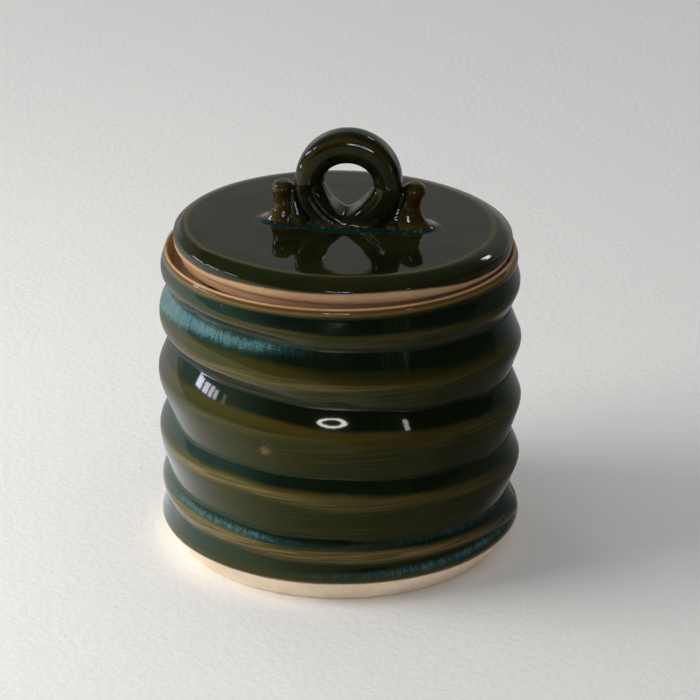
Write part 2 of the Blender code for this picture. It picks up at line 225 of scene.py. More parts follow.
STRAW_WIDTH = (
    (0.1, 1.2), (0.167, 1.1), (0.25, 1.7), (0.306, 2.0), (0.4, 2.5), (0.5, 2.3), (1.0, 1.3))

# Milky runs of the wall: their height in mm and their strength, both by degrees round the wall
# from -360 to 0, with the front at -90 and the left at -180, and their half width in mm
MILK_RUNS = (
    (((-190, 77.0), (-150, 78.2), (-120, 78.1), (-108, 78.7), (-70, 77.0)),
     ((-215, 0.3), (-160, 1), (-138, 1), (-125, 0.95), (-116, 0.8), (-107, 0.5), (-98, 0.25),
      (-70, 0.05)), 2.3),
    (((-150, 21.2), (-125, 20.4), (-110, 19.3), (-95, 18.9)),
     ((-190, 0.2), (-150, 0.6), (-125, 0.7), (-117, 0.7), (-108, 0.5), (-98, 0.32), (-85, 0.28),
      (-60, 0.42), (-35, 0.45), (-15, 0.2)), 1.4),
    (((-110, 9.6), (-60, 10.2), (-20, 11.4)),
     ((-130, 0), (-112, 0.3), (-90, 0.42), (-70, 0.62), (-40, 0.68), (-10, 0.3)), 1.6))

# How teal the thick glaze is, by the same degrees
TEAL_SHARE = (
    (-330, 0.5), (-250, 0.8), (-200, 0.7), (-150, 0.75), (-128, 0.62), (-108, 0.14), (-90, 0.05),
    (-40, 0.08), (-10, 0.4))

# Wall, foot, rim, seat and floor of the crock: a ROUND holds steps (out, up) off a corner
WALL_BELLY = 0.0008
WALL_TOP = 0.0907
SHOULDER_HEIGHT = 0.0016
SHOULDER_DROP = 0.00042
WALL_ROWS = 150
FOOT_RADIUS = 0.0473
FOOT_EDGE = 0.0005
FOOT_ROUND = ((-0.00015, 0.000075), (0.0002, 0.0005))
GLAZE_LINE_RADIUS = 0.05215
GLAZE_LINE_HEIGHT = 0.00665
CLAY_LINE_HEIGHT = 0.00735
BASE_RING_SWELL = 0.0007
BASE_RING_WIDTH = 0.0038
RIM_RADIUS = 0.0509
RIM_ROUND = (
    (0.00005, -0.00012), (-0.00025, 0.0), (-0.0006, -0.0001), (-0.0009, -0.0005), (-0.0011, -0.0011))
SEAT_HEIGHT = 0.0874
SEAT_RADIUS = 0.0486
SEAT_CORNER = 0.0006
MOUTH_RADIUS = 0.0440
MOUTH_ROUND = ((0.0001, -0.0014),)
UNDERCUT = (0.0014, 0.0032)
UNDERCUT_BOTTOM = 0.0800
FLOOR_THICKNESS = 0.0062
FLOOR_CORNER = 0.0060
FLOOR_DISH = 0.0002
INNER_GLAZE_TOP = 0.0790
INNER_SWELL = 0.3 * MM
INNER_RING_DEPTH = 0.10 * MM
INNER_RING_PITCH = 0.0065
FLOOR_RING_DEPTH = 0.12 * MM
FLOOR_RING_PITCH = 0.0062
FLOOR_RING_EASE = (0.003, 0.012)
FLOOR_RING_FADE = (0.036, 0.0404)

# How far past the end of the glaze the rim, the base and a glazed face count as lying
RIM_BARE = 0.0020
BASE_BARE = 0.0040
GLAZED_OVER = -0.0040

# Hand-made waver of the lines where a glaze ends: (size in mm, waves round the piece, shift)
FOOT_LINE_WAVES = ((0.16, 2, 0.6), (0.10, 5, 1.9))
RIM_LINE_RISE = 0.10 * MM
RIM_LINE_WAVES = ((0.05, 1, 2.4), (0.05, 6, 0.0))
LID_LINE_WAVES = ((0.10, 3, 0.4), (0.08, 8, 0.0))
BELL_LINE_WAVES = ((0.2, 4, 0.0),)

# A spot of iron in the glaze above the foot
IRON_SPOT = (-0.0208, -0.0476, 0.0476)

# By degrees round the lid: how far out its break runs and how far down its glaze runs, in mm
LID_BREAK_OUT = (
    (-180, 3.2), (-168, 3.2), (-150, 2.9), (-141, 1.7), (-129, 0.6), (-118, 0.2), (-98, 0.0),
    (-69, 0.0), (-53, 0.5), (-30, 0.5), (0, 1.2), (90, 2.5), (180, 3.2))
LID_GLAZE_DROP = (
    (-180, 1.4), (-141, 1.7), (-114, 1.0), (-88, 0.6), (-72, 0.3), (-60, 0.7), (-45, 1.9), (-30, 2.2),
    (-10, 2.0), (60, 1.4), (120, 1.2), (180, 1.4))

# Lid, bell and handle
LID_SHIFT = 0.00086
LID_GLAZE_HEIGHT = 0.0955
LID_BREAK_RADIUS = 0.0422
LID_DISH = 0.0002
LID_FLAT_EDGE = 0.0012
LID_SHOULDER_STEPS = 22
LID_SHOULDER_BEND = 2.2
LID_SHOULDER_LEAN = 0.20
LID_EDGE_BOTTOM = 0.0917
LID_EDGE_TOP = 0.0019
LID_EDGE_ROUND = ((-0.00010, 0.0014), (-0.0002, 0.0009), (-0.00035, 0.0005), (-0.0009, 0.0))
LID_STEP_RADIUS = 0.0473
LID_STEP_BOTTOM = 0.08855
LID_STEP_CORNER = 0.0002
LID_STEP_ROUND = ((-0.00012, 0.00015), (-0.0005, 0.0))
LID_UNDERSIDE = 0.0922
LID_UNDERSIDE_CORNER = 0.0035
LID_RING_DEPTH = 0.012 * MM
LID_RING_PITCH = 0.0105
LID_RING_EASE = (0.004, 0.015)
LID_RING_FADE = (0.036, 0.0415)
LID_CLING = 0.75 * MM
LID_CLING_REACH = 1.1 * MM
BELL_WALL = 0.0045
BELL_FILLET = 0.0015
BELL_RING_DEPTH = 0.10 * MM
BELL_RING_PITCH = 0.0072
BELL_SWELL = 0.3 * MM
BELL_BARE_HEIGHT = 1.4 * MM
JOIN_GAP = 0.0003
HANDLE_SHIFT = 0.00134
CUT_HEIGHT = 0.0001
COIL_STEPS = 48
RING_VOXEL = 0.00026
RING_SOFTENING = 10
CURL_VOXEL = 0.00020
CURL_SOFTENING = 14
HOLLOW_SOFTENING = 12
HOLE_HALF_WIDTH = 0.0071
HOLE_RISE = 0.0057
HOLE_FALL = 0.0093
HOLE_NARROWING = 1.4
HOLE_TILT = 0.0008
HOLE_TIP_SHIFT = 0.0006
RING_HALF_DEPTH = 0.0055
RING_SQUARENESS = 2.2

# Grooves on the ring's front: depth in mm, place across the coil and width, and the degrees from
# straight down over which each begins and ends
RING_GROOVES = ((0.35, -0.05, 0.10, (-88, -70), (-22, -8)), (0.25, 0.30, 0.09, (14, 26), (50, 66)))

# Where the ring's legs meet, levels up from the lid: (height, half width, half depth)
RING_FOOT = [
    (-0.0011, 0.0122, 0.0067), (0.0004, 0.0118, 0.0058), (0.0012, 0.0110, 0.0046),
    (0.0017, 0.0096, 0.0030)]

# Curled ends of the coil, levels up from the lid: (height, inner x, outer x, half depth)
LEFT_CURL = [
    (-0.0006, -0.0142, -0.0248, 0.0050), (0.0004, -0.0146, -0.0238, 0.0046),
    (0.0018, -0.0149, -0.0228, 0.0041), (0.0034, -0.0152, -0.0221, 0.0037),
    (0.0052, -0.0155, -0.0218, 0.0034), (0.0070, -0.0159, -0.0219, 0.0033),
    (0.0086, -0.0159, -0.0223, 0.0035), (0.0100, -0.0160, -0.0222, 0.0035),
    (0.0109, -0.0165, -0.0217, 0.0030), (0.0115, -0.0174, -0.0207, 0.0019)]
RIGHT_CURL = [
    (-0.0006, 0.0126, 0.0254, 0.0054), (0.0004, 0.0129, 0.0241, 0.0049),
    (0.0018, 0.0130, 0.0226, 0.0043), (0.0038, 0.0134, 0.0214, 0.0038),
    (0.0060, 0.0144, 0.0208, 0.0034), (0.0080, 0.0152, 0.0213, 0.0034),
    (0.0096, 0.0157, 0.0222, 0.0036), (0.0112, 0.0159, 0.0224, 0.0036),
    (0.0122, 0.0165, 0.0218, 0.0030), (0.0129, 0.0176, 0.0207, 0.0018)]

# Glaze that fills the crease between a curl and the ring: the same levels
LEFT_WEB = [
    (-0.0006, -0.0098, -0.0180, 0.0048), (0.0008, -0.0102, -0.0178, 0.0040),
    (0.0022, -0.0112, -0.0176, 0.0034), (0.0060, -0.0135, -0.0174, 0.0026),
    (0.0095, -0.0146, -0.0176, 0.0021), (0.0106, -0.0148, -0.0178, 0.0013)]
RIGHT_WEB = [
    (-0.0006, 0.0092, 0.0172, 0.0050), (0.0008, 0.0098, 0.0170, 0.0042),
    (0.0022, 0.0108, 0.0166, 0.0034), (0.0060, 0.0132, 0.0164, 0.0026),
    (0.0100, 0.0143, 0.0172, 0.0021), (0.0116, 0.0142, 0.0178, 0.0013)]

# Painted reflections and highlights, which only the glaze mirrors and which light nothing: dark cards,
# a glowing sheet, a glowing ring and window panes.
# A pane is (azimuth from, to, elevation from, to, strength), in degrees
CARD_RADIUS = 1.7
CARD_HEIGHT = 1.35
SHEET_HEIGHT = 0.0006
WINDOW_DISTANCE = 1.2
WINDOW_PANES = [
    (166.6, 172.4, 3.2, 7.3, 17.0), (174.0, 178.8, 3.2, 7.3, 15.0), (179.8, 183.0, 3.2, 7.3, 13.0),
    (184.0, 187.0, 3.2, 6.9, 11.0), (191.8, 194.4, 3.2, 6.7, 2.5), (-49.0, -46.0, 4.6, 11.0, 10.0),
    (150.0, 163.0, 18.5, 23.5, 14.0), (163.5, 177.0, 25.0, 30.0, 14.0),
    (177.5, 190.0, 33.0, 38.0, 14.0)]
WINDOW_TINT = (1.0, 0.95, 1.8)
LID_PANE = (57.0, 66.0, 34.0, 36.0, 11.0)
LID_PANE_TINT = (1.0, 0.95, 0.95)
CARD_STRIPES = (0.80, 0.885, 0.97, 1.06, 1.15)
RING_GLINT_SIZE = (0.150, 0.034)
RING_GLINT_SQUASH = 0.42
RING_GLINT_TINT = (1.0, 0.95, 2.0)
RING_GLINT_STRENGTH = 26.0

# Where the backdrop dims: from and to, as sines of the angle above the table, and how far to black
BACKDROP_DIMMING = ((0.12, 0.34, 0.46), (0.42, 0.62, 0.88))

# Gloss and relief of glaze and clay
GLAZE_IOR = 1.38
CLAY_ROUGHNESS = 0.78
RELIEF_DEPTH = 0.00012
PAPER_DEPTH = 0.00028
GLAZE_GLEAM = (0.95, 1.0, 0.70)
HANDLE_GLEAM = (0.80, 0.78, 0.46)
CROCK_GLEAM = (0.88, 0.96, 0.38)


class Wire:
    """A socket with Python's own arithmetic: an expression on wires adds its Math nodes."""

    def __init__(self, finish, socket):
        self.finish = finish
        self.socket = socket

    def __add__(self, other):
        return self.finish.maths("ADD", self, other)

    def __sub__(self, other):
        return self.finish.maths("SUBTRACT", self, other)

    def __rsub__(self, other):
        return self.finish.maths("SUBTRACT", other, self)

    def __mul__(self, other):
        return self.finish.maths("MULTIPLY", self, other)

    def __truediv__(self, other):
        return self.finish.maths("DIVIDE", self, other)

    __radd__ = __add__
    __rmul__ = __mul__


class Finish:
    """The node tree of one material, or of the world."""

    def __init__(self, owner):
        owner.use_nodes = True
        self.owner = owner
        self.tree = owner.node_tree
        self.tree.nodes.clear()

    def node(self, kind, settings=None, inputs=None, output=0):
        """Add a node: its settings first, then the values or wires of its sockets."""
        made = self.tree.nodes.new(kind)
        for name, value in (settings or {}).items():
            setattr(made, name, value)
        for name, value in (inputs or {}).items():
            socket = made.inputs[name]
            if isinstance(value, Wire):
                self.tree.links.new(value.socket, socket)
            elif socket.type == "RGBA":
                socket.default_value = (*value[:3], 1.0)
            else:
                socket.default_value = value
        if not made.outputs:
            return None
        return Wire(self, made.outputs[output])

    def maths(self, operation, *values):
        """A number worked out by a Math node."""
        return self.node("ShaderNodeMath", {"operation": operation}, dict(enumerate(values)))

    def place(self):
        """Object coordinates of the piece."""
        return self.node("ShaderNodeTexCoord", output="Object")

    def scaled(self, place, scale):
        """A place stretched along its axes, for a streaky pattern."""
        return self.node("ShaderNodeMapping", inputs={"Vector": place, "Scale": scale})

    def parts(self, place):
        """The three numbers of a vector."""
        split = self.node("ShaderNodeSeparateXYZ", inputs={0: place})
        return [Wire(self, socket) for socket in split.socket.node.outputs]

    def step(self, value, low, high):
        """0 at low, 1 at high, and a smooth ramp between."""
        return self.node(
            "ShaderNodeMapRange", {"interpolation_type": "SMOOTHSTEP"},
            {"Value": value, "From Min": low, "From Max": high})

    def hump(self, value, middle, reach):
        """1 at the middle, falling smoothly to 0 at reach on either side."""
        return 1 - self.step(self.maths("ABSOLUTE", value - middle), 0.0, reach)

    def noise(self, place, scale, detail, roughness):
        """A cloudy pattern from 0 to 1, with so many clouds to the metre."""
        return self.node(
            "ShaderNodeTexNoise", inputs={
                "Vector": place, "Scale": scale, "Detail": detail, "Roughness": roughness})

    def attribute(self, name):
        """A number that is stored at the corners of the piece."""
        return self.node("ShaderNodeAttribute", {"attribute_name": name}, output="Fac")

    def blend(self, share, first, second):
        """A colour between two, by a share from 0 to 1."""
        sockets = {0: share, 6: first, 7: second}
        return self.node("ShaderNodeMix", {"data_type": "RGBA"}, sockets, output=2)

    def bump(self, height, distance):
        """A normal from a height of 0 to 1, which stands for this many metres."""
        return self.node(
            "ShaderNodeBump", inputs={"Height": height, "Strength": 1.0, "Distance": distance})

    def surface(self, tint, roughness, normal, ior, gleam=(1.0, 1.0, 1.0)):
        """The finished surface, whose mirror image takes the tint of the gleam."""
        shader = self.node(
            "ShaderNodeBsdfPrincipled", inputs={
                "Base Color": tint, "Roughness": roughness, "Normal": normal, "IOR": ior,
                "Specular Tint": gleam})
        self.node("ShaderNodeOutputMaterial", inputs={"Surface": shader})


def smooth_step(low, high, value):
    """0 below low, 1 above high, and a smooth ramp between."""
    share = np.clip((value - low) / (high - low), 0.0, 1.0)
    return share * share * (3.0 - 2.0 * share)


def arc(centre, radius, start, stop, count):
    """Points of an arc in an outline's plane, angles in degrees."""
    points = []
    for index in range(count + 1):
        angle = math.radians(start + (stop - start) * index / count)
        points.append((centre[0] + radius * math.cos(angle), centre[1] + radius * math.sin(angle)))
    return points


def eased(corner, steps):
    """Points that round a corner of an outline, from their steps off it."""
    return [(corner[0] + out, corner[1] + up) for out, up in steps]


def straight(start, stop, count):
    """Points from start to stop, without start itself."""
    points = []
    for index in range(1, count + 1):
        share = index / count
        points.append((
            start[0] + (stop[0] - start[0]) * share, start[1] + (stop[1] - start[1]) * share))
    return points


def begin():
    """Leave edit mode with nothing selected."""
    if bpy.context.object and bpy.context.object.mode != "OBJECT":
        bpy.ops.object.mode_set(mode="OBJECT")
    bpy.ops.object.select_all(action="DESELECT")


def pick(*pieces):
    """Select these pieces alone, the first as the active one."""
    begin()
    for piece in pieces:
        piece.select_set(True)
    bpy.context.view_layer.objects.active = pieces[0]


def end_edit():
    """Turn all faces outwards and leave edit mode."""
    bpy.ops.mesh.select_all(action="SELECT")
    bpy.ops.mesh.normals_make_consistent(inside=False)
    bpy.ops.object.mode_set(mode="OBJECT")


def named(name):
    """Name the object that an operator has just made."""
    piece = bpy.context.object
    piece.name = name
    piece.data.name = name
    return piece


def turned(name, outline, steps):
    """Turn an outline of (radius, height) points once round the Z axis, as on a wheel."""
    begin()
    radius, height = outline[0]
    bpy.ops.mesh.primitive_plane_add(size=MM, location=(radius, 0.0, height))
    piece = named(name)
    bpy.ops.object.transform_apply(location=True)
    bpy.ops.object.mode_set(mode="EDIT")
    bpy.ops.mesh.select_mode(type="VERT")
    bpy.ops.mesh.select_all(action="SELECT")
    bpy.ops.mesh.merge(type="CENTER")
    for before, after in zip(outline, outline[1:]):
        move = (after[0] - before[0], 0.0, after[1] - before[1])
        bpy.ops.mesh.extrude_region_move(TRANSFORM_OT_translate={"value": move})
    bpy.ops.mesh.select_all(action="SELECT")
    bpy.ops.mesh.spin(steps=steps, angle=TURN, center=(0, 0, 0), axis=(0, 0, 1))
    bpy.ops.mesh.select_all(action="SELECT")
    bpy.ops.mesh.remove_doubles(threshold=2e-6)
    end_edit()
    return piece


def corners_of(piece):
    """The places of a mesh's corners, one row each."""
    places = np.zeros(len(piece.data.vertices) * 3, np.float32)
    piece.data.vertices.foreach_get("co", places)
    return places.reshape(-1, 3).astype(float)


def move_corners(piece, places):
    """Put a mesh's corners at new places."""
    piece.data.vertices.foreach_set("co", places.astype(np.float32).ravel())
    piece.data.update()


def store(piece, name, values):
    """Keep one number for each corner, for the glaze to read."""
    kept = piece.data.attributes.new(name, "FLOAT", "POINT")
    kept.data.foreach_set("value", np.asarray(values, np.float32))


def finish_piece(piece, material, body, nodes, sharp=40.0):
    """Shade, glaze and hand over a piece."""
    pick(piece)
    bpy.ops.object.shade_smooth_by_angle(angle=math.radians(sharp))
    piece.data.materials.clear()
    piece.data.materials.append(material)
    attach(piece, body)
    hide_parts(*nodes)


def lid_place(sizes):
    """Where the lid stands: shifted in its seat, and leaning about the middle of its edge."""
    lean = Matrix.Rotation(sizes.lid_lean, 4, "Y")
    pivot = Matrix.Translation((LID_SHIFT, 0.0, LID_GLAZE_HEIGHT))
    return pivot @ lean @ Matrix.Translation((0.0, 0.0, -LID_GLAZE_HEIGHT))


def handle_place(sizes):
    """Where the handle stands on the lid."""
    turn = Matrix.Rotation(sizes.handle_turn, 4, "Z")
    return lid_place(sizes) @ Matrix.Translation((HANDLE_SHIFT, 0.0, 0.0)) @ turn


def set_down(piece, place):
    """Put a piece where it stands, with the place kept in its mesh."""
    piece.matrix_world = place
    pick(piece)
    bpy.ops.object.transform_apply(location=True, rotation=True, scale=True)


def gaussian(value, middle, width):
    """1 at the middle, falling off within a width on either side."""
    return np.exp(-((value - middle) / width) ** 2)


def around(angle, middle, width):
    """1 at an angle round the wall, falling off within a width, both given in degrees."""
    return gaussian((np.degrees(angle) - middle + 180.0) % 360.0 - 180.0, 0.0, width)


def tabled(table, at):
    """A value between the rows of a table."""
    return np.interp(at, *zip(*table))


def waver(angle, *waves):
    """The unevenness of a line that a hand has made, from waves of (size in mm, count, shift)."""
    return sum(size * np.sin(count * angle + shift) for size, count, shift in waves) * MM


def finger_rings(along, pitch, angle):
    """The spiral of a finger on turned clay: -1 in its hollows and 1 on its crests."""
    return np.cos(TURN * (along / pitch - angle / TURN))


def curve_through(points, at):
    """A smooth curve through the points of a table."""
    places, values = np.array(points).T
    slopes = np.gradient(values, places)
    index = np.clip(np.searchsorted(places, at) - 1, 0, len(places) - 2)
    gap = places[index + 1] - places[index]
    share = np.clip((at - places[index]) / gap, 0.0, 1.0)
    bend = share * share * (3.0 - 2.0 * share)
    start = share * (1.0 - share) ** 2 * gap * slopes[index]
    stop = share * share * (1.0 - share) * gap * slopes[index + 1]
    return values[index] + (values[index + 1] - values[index]) * bend + start - stop


def ridge_height(sizes, turns):
    """Height of the throwing spiral's crest after so many turns up from its start at +X."""
    climbed = np.minimum(turns, RIDGE_LAST_TURN)
    past_last = np.maximum(0.0, turns - RIDGE_LAST_TURN)
    height = RIDGE_START + sizes.ridge_pitch * climbed + RIDGE_WAVER * np.sin(TURN * climbed)
    height = height + sizes.ridge_pitch * RIDGE_LAST_SQUEEZE * past_last
    height = height + RIDGE_FIRST_LIFT * np.sin(np.pi * turns) * (turns < 1.0)
    height = height + MM * curve_through(CREST_SHIFTS, np.clip(turns, 0.0, CREST_SHIFTS[-1][0]))
    return np.where(turns <= 0.0, RIDGE_START, height)


def roll_shape(turns):
    """Shape of the roll above a crest: crease, ramp, and first and last slope."""
    laps = len(ROLL_CREASES)
    lap = np.clip(np.floor(turns), 0, laps - 1)
    place = np.clip(turns, 0.0, laps - 0.5)
    places = np.concatenate([np.array(ROLL_TURNS) + row for row in range(laps)])
    tables = (ROLL_CREASES, ROLL_RAMPS, [FLANK_SLOPES] * laps, [HOLLOW_SLOPES] * laps)
    crease, ramp, first, hollow = [np.interp(place, places, np.ravel(table)) for table in tables]
    first = np.where(lap == TOP_LAP, np.minimum(first, TOP_SLOPE), first)
    last = np.where(lap == HOLLOW_LAP, hollow, first * FLANK_GAIN)
    belly = np.interp(place, np.arange(laps) + 0.25, BELLY_SLOPES)
    return crease, ramp, first - belly, last - belly


def roll_drop(share, up_end, ramp, first, last):
    """How far a point lies inside its roll's crest, as a share of the roll's height.

    share runs from one crest to the next. The upper flank gets its first slope over the ramp and
    bends to its last slope at up_end, in a narrow crease, where the lower flank of the next roll
    begins."""
    ease = ramp * up_end
    low_ease = ROLL_LOW_RAMP * (1.0 - up_end)
    flank = up_end - ROLL_CREASE - ease
    depth = first * ease / 2 + first * flank + (last - first) * flank / (FLANK_BEND + 1)
    rise = (depth + last * ROLL_CREASE) / (1.0 - up_end - low_ease / 2)
    begun = np.minimum(share, ease)
    drop = first * begun * begun / (2 * ease)
    along = np.clip(share - ease, 0.0, flank)
    drop += first * along
    drop += (last - first) * flank / (FLANK_BEND + 1) * (along / flank) ** (FLANK_BEND + 1)
    turning = np.clip(share - (up_end - ROLL_CREASE), 0.0, 2 * ROLL_CREASE)
    drop += last * turning - (last + rise) * turning * turning / (4 * ROLL_CREASE)
    drop -= rise * np.clip(share - up_end - ROLL_CREASE, 0.0, 1.0 - low_ease - up_end - ROLL_CREASE)
    ending = np.clip(share - (1.0 - low_ease), 0.0, low_ease)
    drop -= rise * (ending - ending * ending / (2 * low_ease))
    return drop


def ridges_at(sizes, angle, height):
    """For points of the wall: how far each lies inside the crest below it, in metres, its share
    of a turn from that crest to the next, with the crease at one half, the height that a whole
    turn would span there, in mm, and the turns up the spiral of the crest that is nearest."""
    turn = -angle / TURN
    inward = np.zeros_like(height)
    phase = np.zeros_like(height)
    span = np.ones_like(height)
    nearest = np.zeros_like(height)
    low = np.full_like(height, RIDGE_START)
    low_turns = np.full_like(height, -1.0)
    for lap in range(MOST_LAPS):
        high_turns = turn + lap
        high = ridge_height(sizes, high_turns)
        inside = (low <= height) & (height < high)
        gap = np.maximum(high - low, HAIR)
        share = np.clip((height - low) / gap, 0.0, 1.0)
        under_first = low_turns < 0.0
        joined = np.where(under_first, smooth_step(*BASE_ROLL_JOIN, high_turns), 1.0)
        upwards = roll_shape(np.maximum(low_turns, 0.0))
        up_end, *slopes = [
            base + (value - base) * joined for base, value in zip(BASE_ROLL, upwards)]
        closeness = np.minimum(1.0, gap / sizes.ridge_pitch)
        depth = gap * np.minimum(1.0, closeness * 3) * np.where(under_first, closeness, 1.0)
        drop = depth * roll_drop(share, up_end, *slopes)
        upper = share < up_end
        here = np.where(upper, 0.5 * share / up_end, 0.5 + 0.5 * (share - up_end) / (1 - up_end))
        inward = np.where(inside, drop, inward)
        phase = np.where(inside, here, phase)
        span = np.where(inside, 2 * gap * np.where(upper, up_end, 1 - up_end) / MM, span)
        nearest = np.where(inside, np.where(upper, low_turns, high_turns), nearest)
        low = high
        low_turns = np.where(high_turns <= 0.0, -1.0, high_turns)
    return inward, phase, span, nearest


def wall_radius(sizes, angle, height):
    """Outer radius of the crock's wall with its ridges, and what ridges_at tells of them."""
    belly = np.sin(np.pi * height / sizes.crock_height)
    radius = sizes.wall_radius + WALL_BELLY * belly
    depth = sizes.ridge_depth + sizes.ridge_belly * belly
    inward, *ridges = ridges_at(sizes, angle, height)
    fade = 1.0 - smooth_step(RIDGE_FADE_FROM, WALL_TOP, height)
    swell = BASE_RING_SWELL * gaussian(height, RIDGE_START, BASE_RING_WIDTH)
    tuck = smooth_step(GLAZE_LINE_HEIGHT, RIDGE_START, height)
    hand = waver(angle, (0.05, 3, 90 * height), (0.03, 7, -310 * height))
    past = np.clip((height - WALL_TOP + SHOULDER_HEIGHT) / SHOULDER_HEIGHT, 0.0, 1.0)
    ridged = radius + (depth - inward + hand) * fade + swell - SHOULDER_DROP * past * past
    return GLAZE_LINE_RADIUS + (ridged - GLAZE_LINE_RADIUS) * tuck, ridges


def crock_outline(sizes):
    """Half section of the crock, from the middle of the base round to the middle of the floor."""
    points = [(0.0, 0.0)]
    points += straight(points[-1], (FOOT_RADIUS - FOOT_EDGE, 0.0), 6)
    points += eased((FOOT_RADIUS, 0.0), FOOT_ROUND)
    points += straight(points[-1], (GLAZE_LINE_RADIUS, GLAZE_LINE_HEIGHT), 14)
    wall, shoulder = sizes.wall_radius, WALL_TOP - SHOULDER_HEIGHT
    points += straight((wall, GLAZE_LINE_HEIGHT), (wall, shoulder), WALL_ROWS)
    points += straight((wall, shoulder), (wall, WALL_TOP), 8)
    points += eased((RIM_RADIUS, sizes.crock_height), RIM_ROUND)
    points += straight(points[-1], (SEAT_RADIUS + 0.0001, SEAT_HEIGHT + 0.0004), 4)
    points += [(SEAT_RADIUS - 0.0002, SEAT_HEIGHT)]
    points += straight(points[-1], (MOUTH_RADIUS + SEAT_CORNER, SEAT_HEIGHT), 4)
    centre = (MOUTH_RADIUS + SEAT_CORNER, SEAT_HEIGHT - SEAT_CORNER)
    points += arc(centre, SEAT_CORNER, 105, 180, 4)
    points += eased((MOUTH_RADIUS, SEAT_HEIGHT), MOUTH_ROUND)
    points += straight(points[-1], (MOUTH_RADIUS + UNDERCUT[0], UNDERCUT_BOTTOM + UNDERCUT[1]), 3)
    points += straight(points[-1], (sizes.inner_radius, UNDERCUT_BOTTOM), 3)
    corner_top = FLOOR_THICKNESS + FLOOR_CORNER
    points += straight(points[-1], (sizes.inner_radius, corner_top), 60)
    points += arc((sizes.inner_radius - FLOOR_CORNER, corner_top), FLOOR_CORNER, -9, -90, 9)
    points += straight(points[-1], (0.0, FLOOR_THICKNESS - FLOOR_DISH), 30)
    return points


def westward(angle):
    """Degrees round the wall from -360 to 0: -90 is the front and -180 the left side."""
    degrees = np.degrees(angle)
    return np.where(degrees > 0, degrees - 360.0, degrees)


def milk_on_wall(angle, height, phase):
    """Where the glaze has run into milky teal streaks: most at the left, some round the back."""
    z = height / MM
    left = westward(angle)
    runs = sum(
        gaussian(z, tabled(middles, left), width) * tabled(strengths, left)
        for middles, strengths, width in MILK_RUNS)
    haze = gaussian(z, 76.5, 3.6) * gaussian(left, -182, 24) * 1.1
    hollows = gaussian(phase, 0.33, 0.12) * smooth_step(14, 20, z) * (1 - smooth_step(80, 86, z))
    behind = hollows * (0.20 + 0.45 * around(angle, 120, 50) + 0.2 * around(angle, 40, 30))
    behind *= 1 - gaussian(left, -90, 80)
    return np.clip(runs + haze + behind, 0, 1)


def straw_on_wall(turns, rise):
    """How strongly the glaze breaks to straw, by turns up the spiral and mm above its crest."""
    return tabled(STRAW_ON_CREST, turns) * gaussian(rise, 0.1, tabled(STRAW_WIDTH, turns))


def amber_on_wall(turns, rise):
    """How strongly the glaze thins to amber above a crest."""
    middle = tabled(AMBER_ABOVE_CREST, turns)
    width = np.where(rise < middle, 0.5 + 0.55 * middle, 2.2)
    return tabled(AMBER_ON_CREST, turns) * gaussian(rise, middle, width)


def cool_on_wall(angle, height):
    """How teal the thick glaze is: near black at the front, cooler towards the sides."""
    return tabled(TEAL_SHARE, westward(angle)) * (1 - 0.55 * gaussian(height / MM, 60, 8))


def build_crock(sizes, colours):
    """The crock: a turned pot whose outer wall then takes the ridges of the throwing spiral."""
    piece = turned("crock", crock_outline(sizes), sizes.round_steps)
    places = corners_of(piece)
    x, y, height = places.T.copy()
    radius = np.hypot(x, y)
    angle = np.arctan2(y, x)
    outside = (np.abs(radius - sizes.wall_radius) < HAIR) & (height < WALL_TOP + HAIR)
    inside = (np.abs(radius - sizes.inner_radius) < HAIR) & (height < UNDERCUT_BOTTOM + HAIR)
    on_floor = (height < FLOOR_THICKNESS + HAIR) & (height > FLOOR_THICKNESS - MM)

    wanted, (phase, span, turns) = wall_radius(sizes, angle, height)
    share = np.clip((UNDERCUT_BOTTOM - height) / (UNDERCUT_BOTTOM - FLOOR_THICKNESS), 0, 1)
    bow = np.sin(np.pi * share)
    rings = INNER_RING_DEPTH * finger_rings(height, INNER_RING_PITCH, angle) * bow ** 0.5
    out = np.where(outside, wanted - radius, 0.0) + np.where(inside, INNER_SWELL * bow + rings, 0.0)
    places[:, :2] *= (1 + out / np.maximum(radius, MM))[:, None]
    floor = FLOOR_RING_DEPTH * finger_rings(radius, FLOOR_RING_PITCH, angle)
    floor *= smooth_step(*FLOOR_RING_EASE, radius) * (1 - smooth_step(*FLOOR_RING_FADE, radius))
    places[:, 2] += np.where(on_floor, floor, 0.0)
    move_corners(piece, places)

    foot_line = CLAY_LINE_HEIGHT + waver(angle, *FOOT_LINE_WAVES)
    top_line = WALL_TOP + RIM_LINE_RISE + waver(angle, *RIM_LINE_WAVES)
    bevel = (height < 0.05) & (radius > FOOT_RADIUS - 0.002)
    bare = np.where(
        outside | bevel, np.maximum(foot_line - height, height - top_line), height - INNER_GLAZE_TOP)
    bare = np.where(height < FOOT_EDGE, BASE_BARE, bare)
    rim = (height > SEAT_HEIGHT - 0.009) & ~outside
    bare = np.where(rim, np.maximum(bare, RIM_BARE), bare)
    above_wall = rim & (radius > RIM_RADIUS - 0.0002) & (height > WALL_TOP - 0.0001)
    bare = np.where(above_wall, RIM_BARE, bare)

    rise = np.where(phase < 0.5, phase, phase - 1.0) * span
    store(piece, "bare", bare / MM)
    for name, on_wall, elsewhere in (
            ("ridge_cos", np.cos(TURN * phase), 0.3), ("ridge_sin", np.sin(TURN * phase), 0.0),
            ("milk", milk_on_wall(angle, height, phase), 0.0), ("span", span, 10.0),
            ("straw", straw_on_wall(turns, rise), 0.0), ("amber", amber_on_wall(turns, rise), 0.0),
            ("thick_from", tabled(THICK_ABOVE_CREST, turns), 3.0),
            ("cool", cool_on_wall(angle, height), 0.2)):
        store(piece, name, np.where(outside, on_wall, elsewhere))
    finish_piece(piece, crock_glaze(colours), "crock", ["crock_body"])


def mixed(first, second, share):
    """A colour between two, worked out beforehand."""
    return tuple(a + (b - a) * share for a, b in zip(first, second))


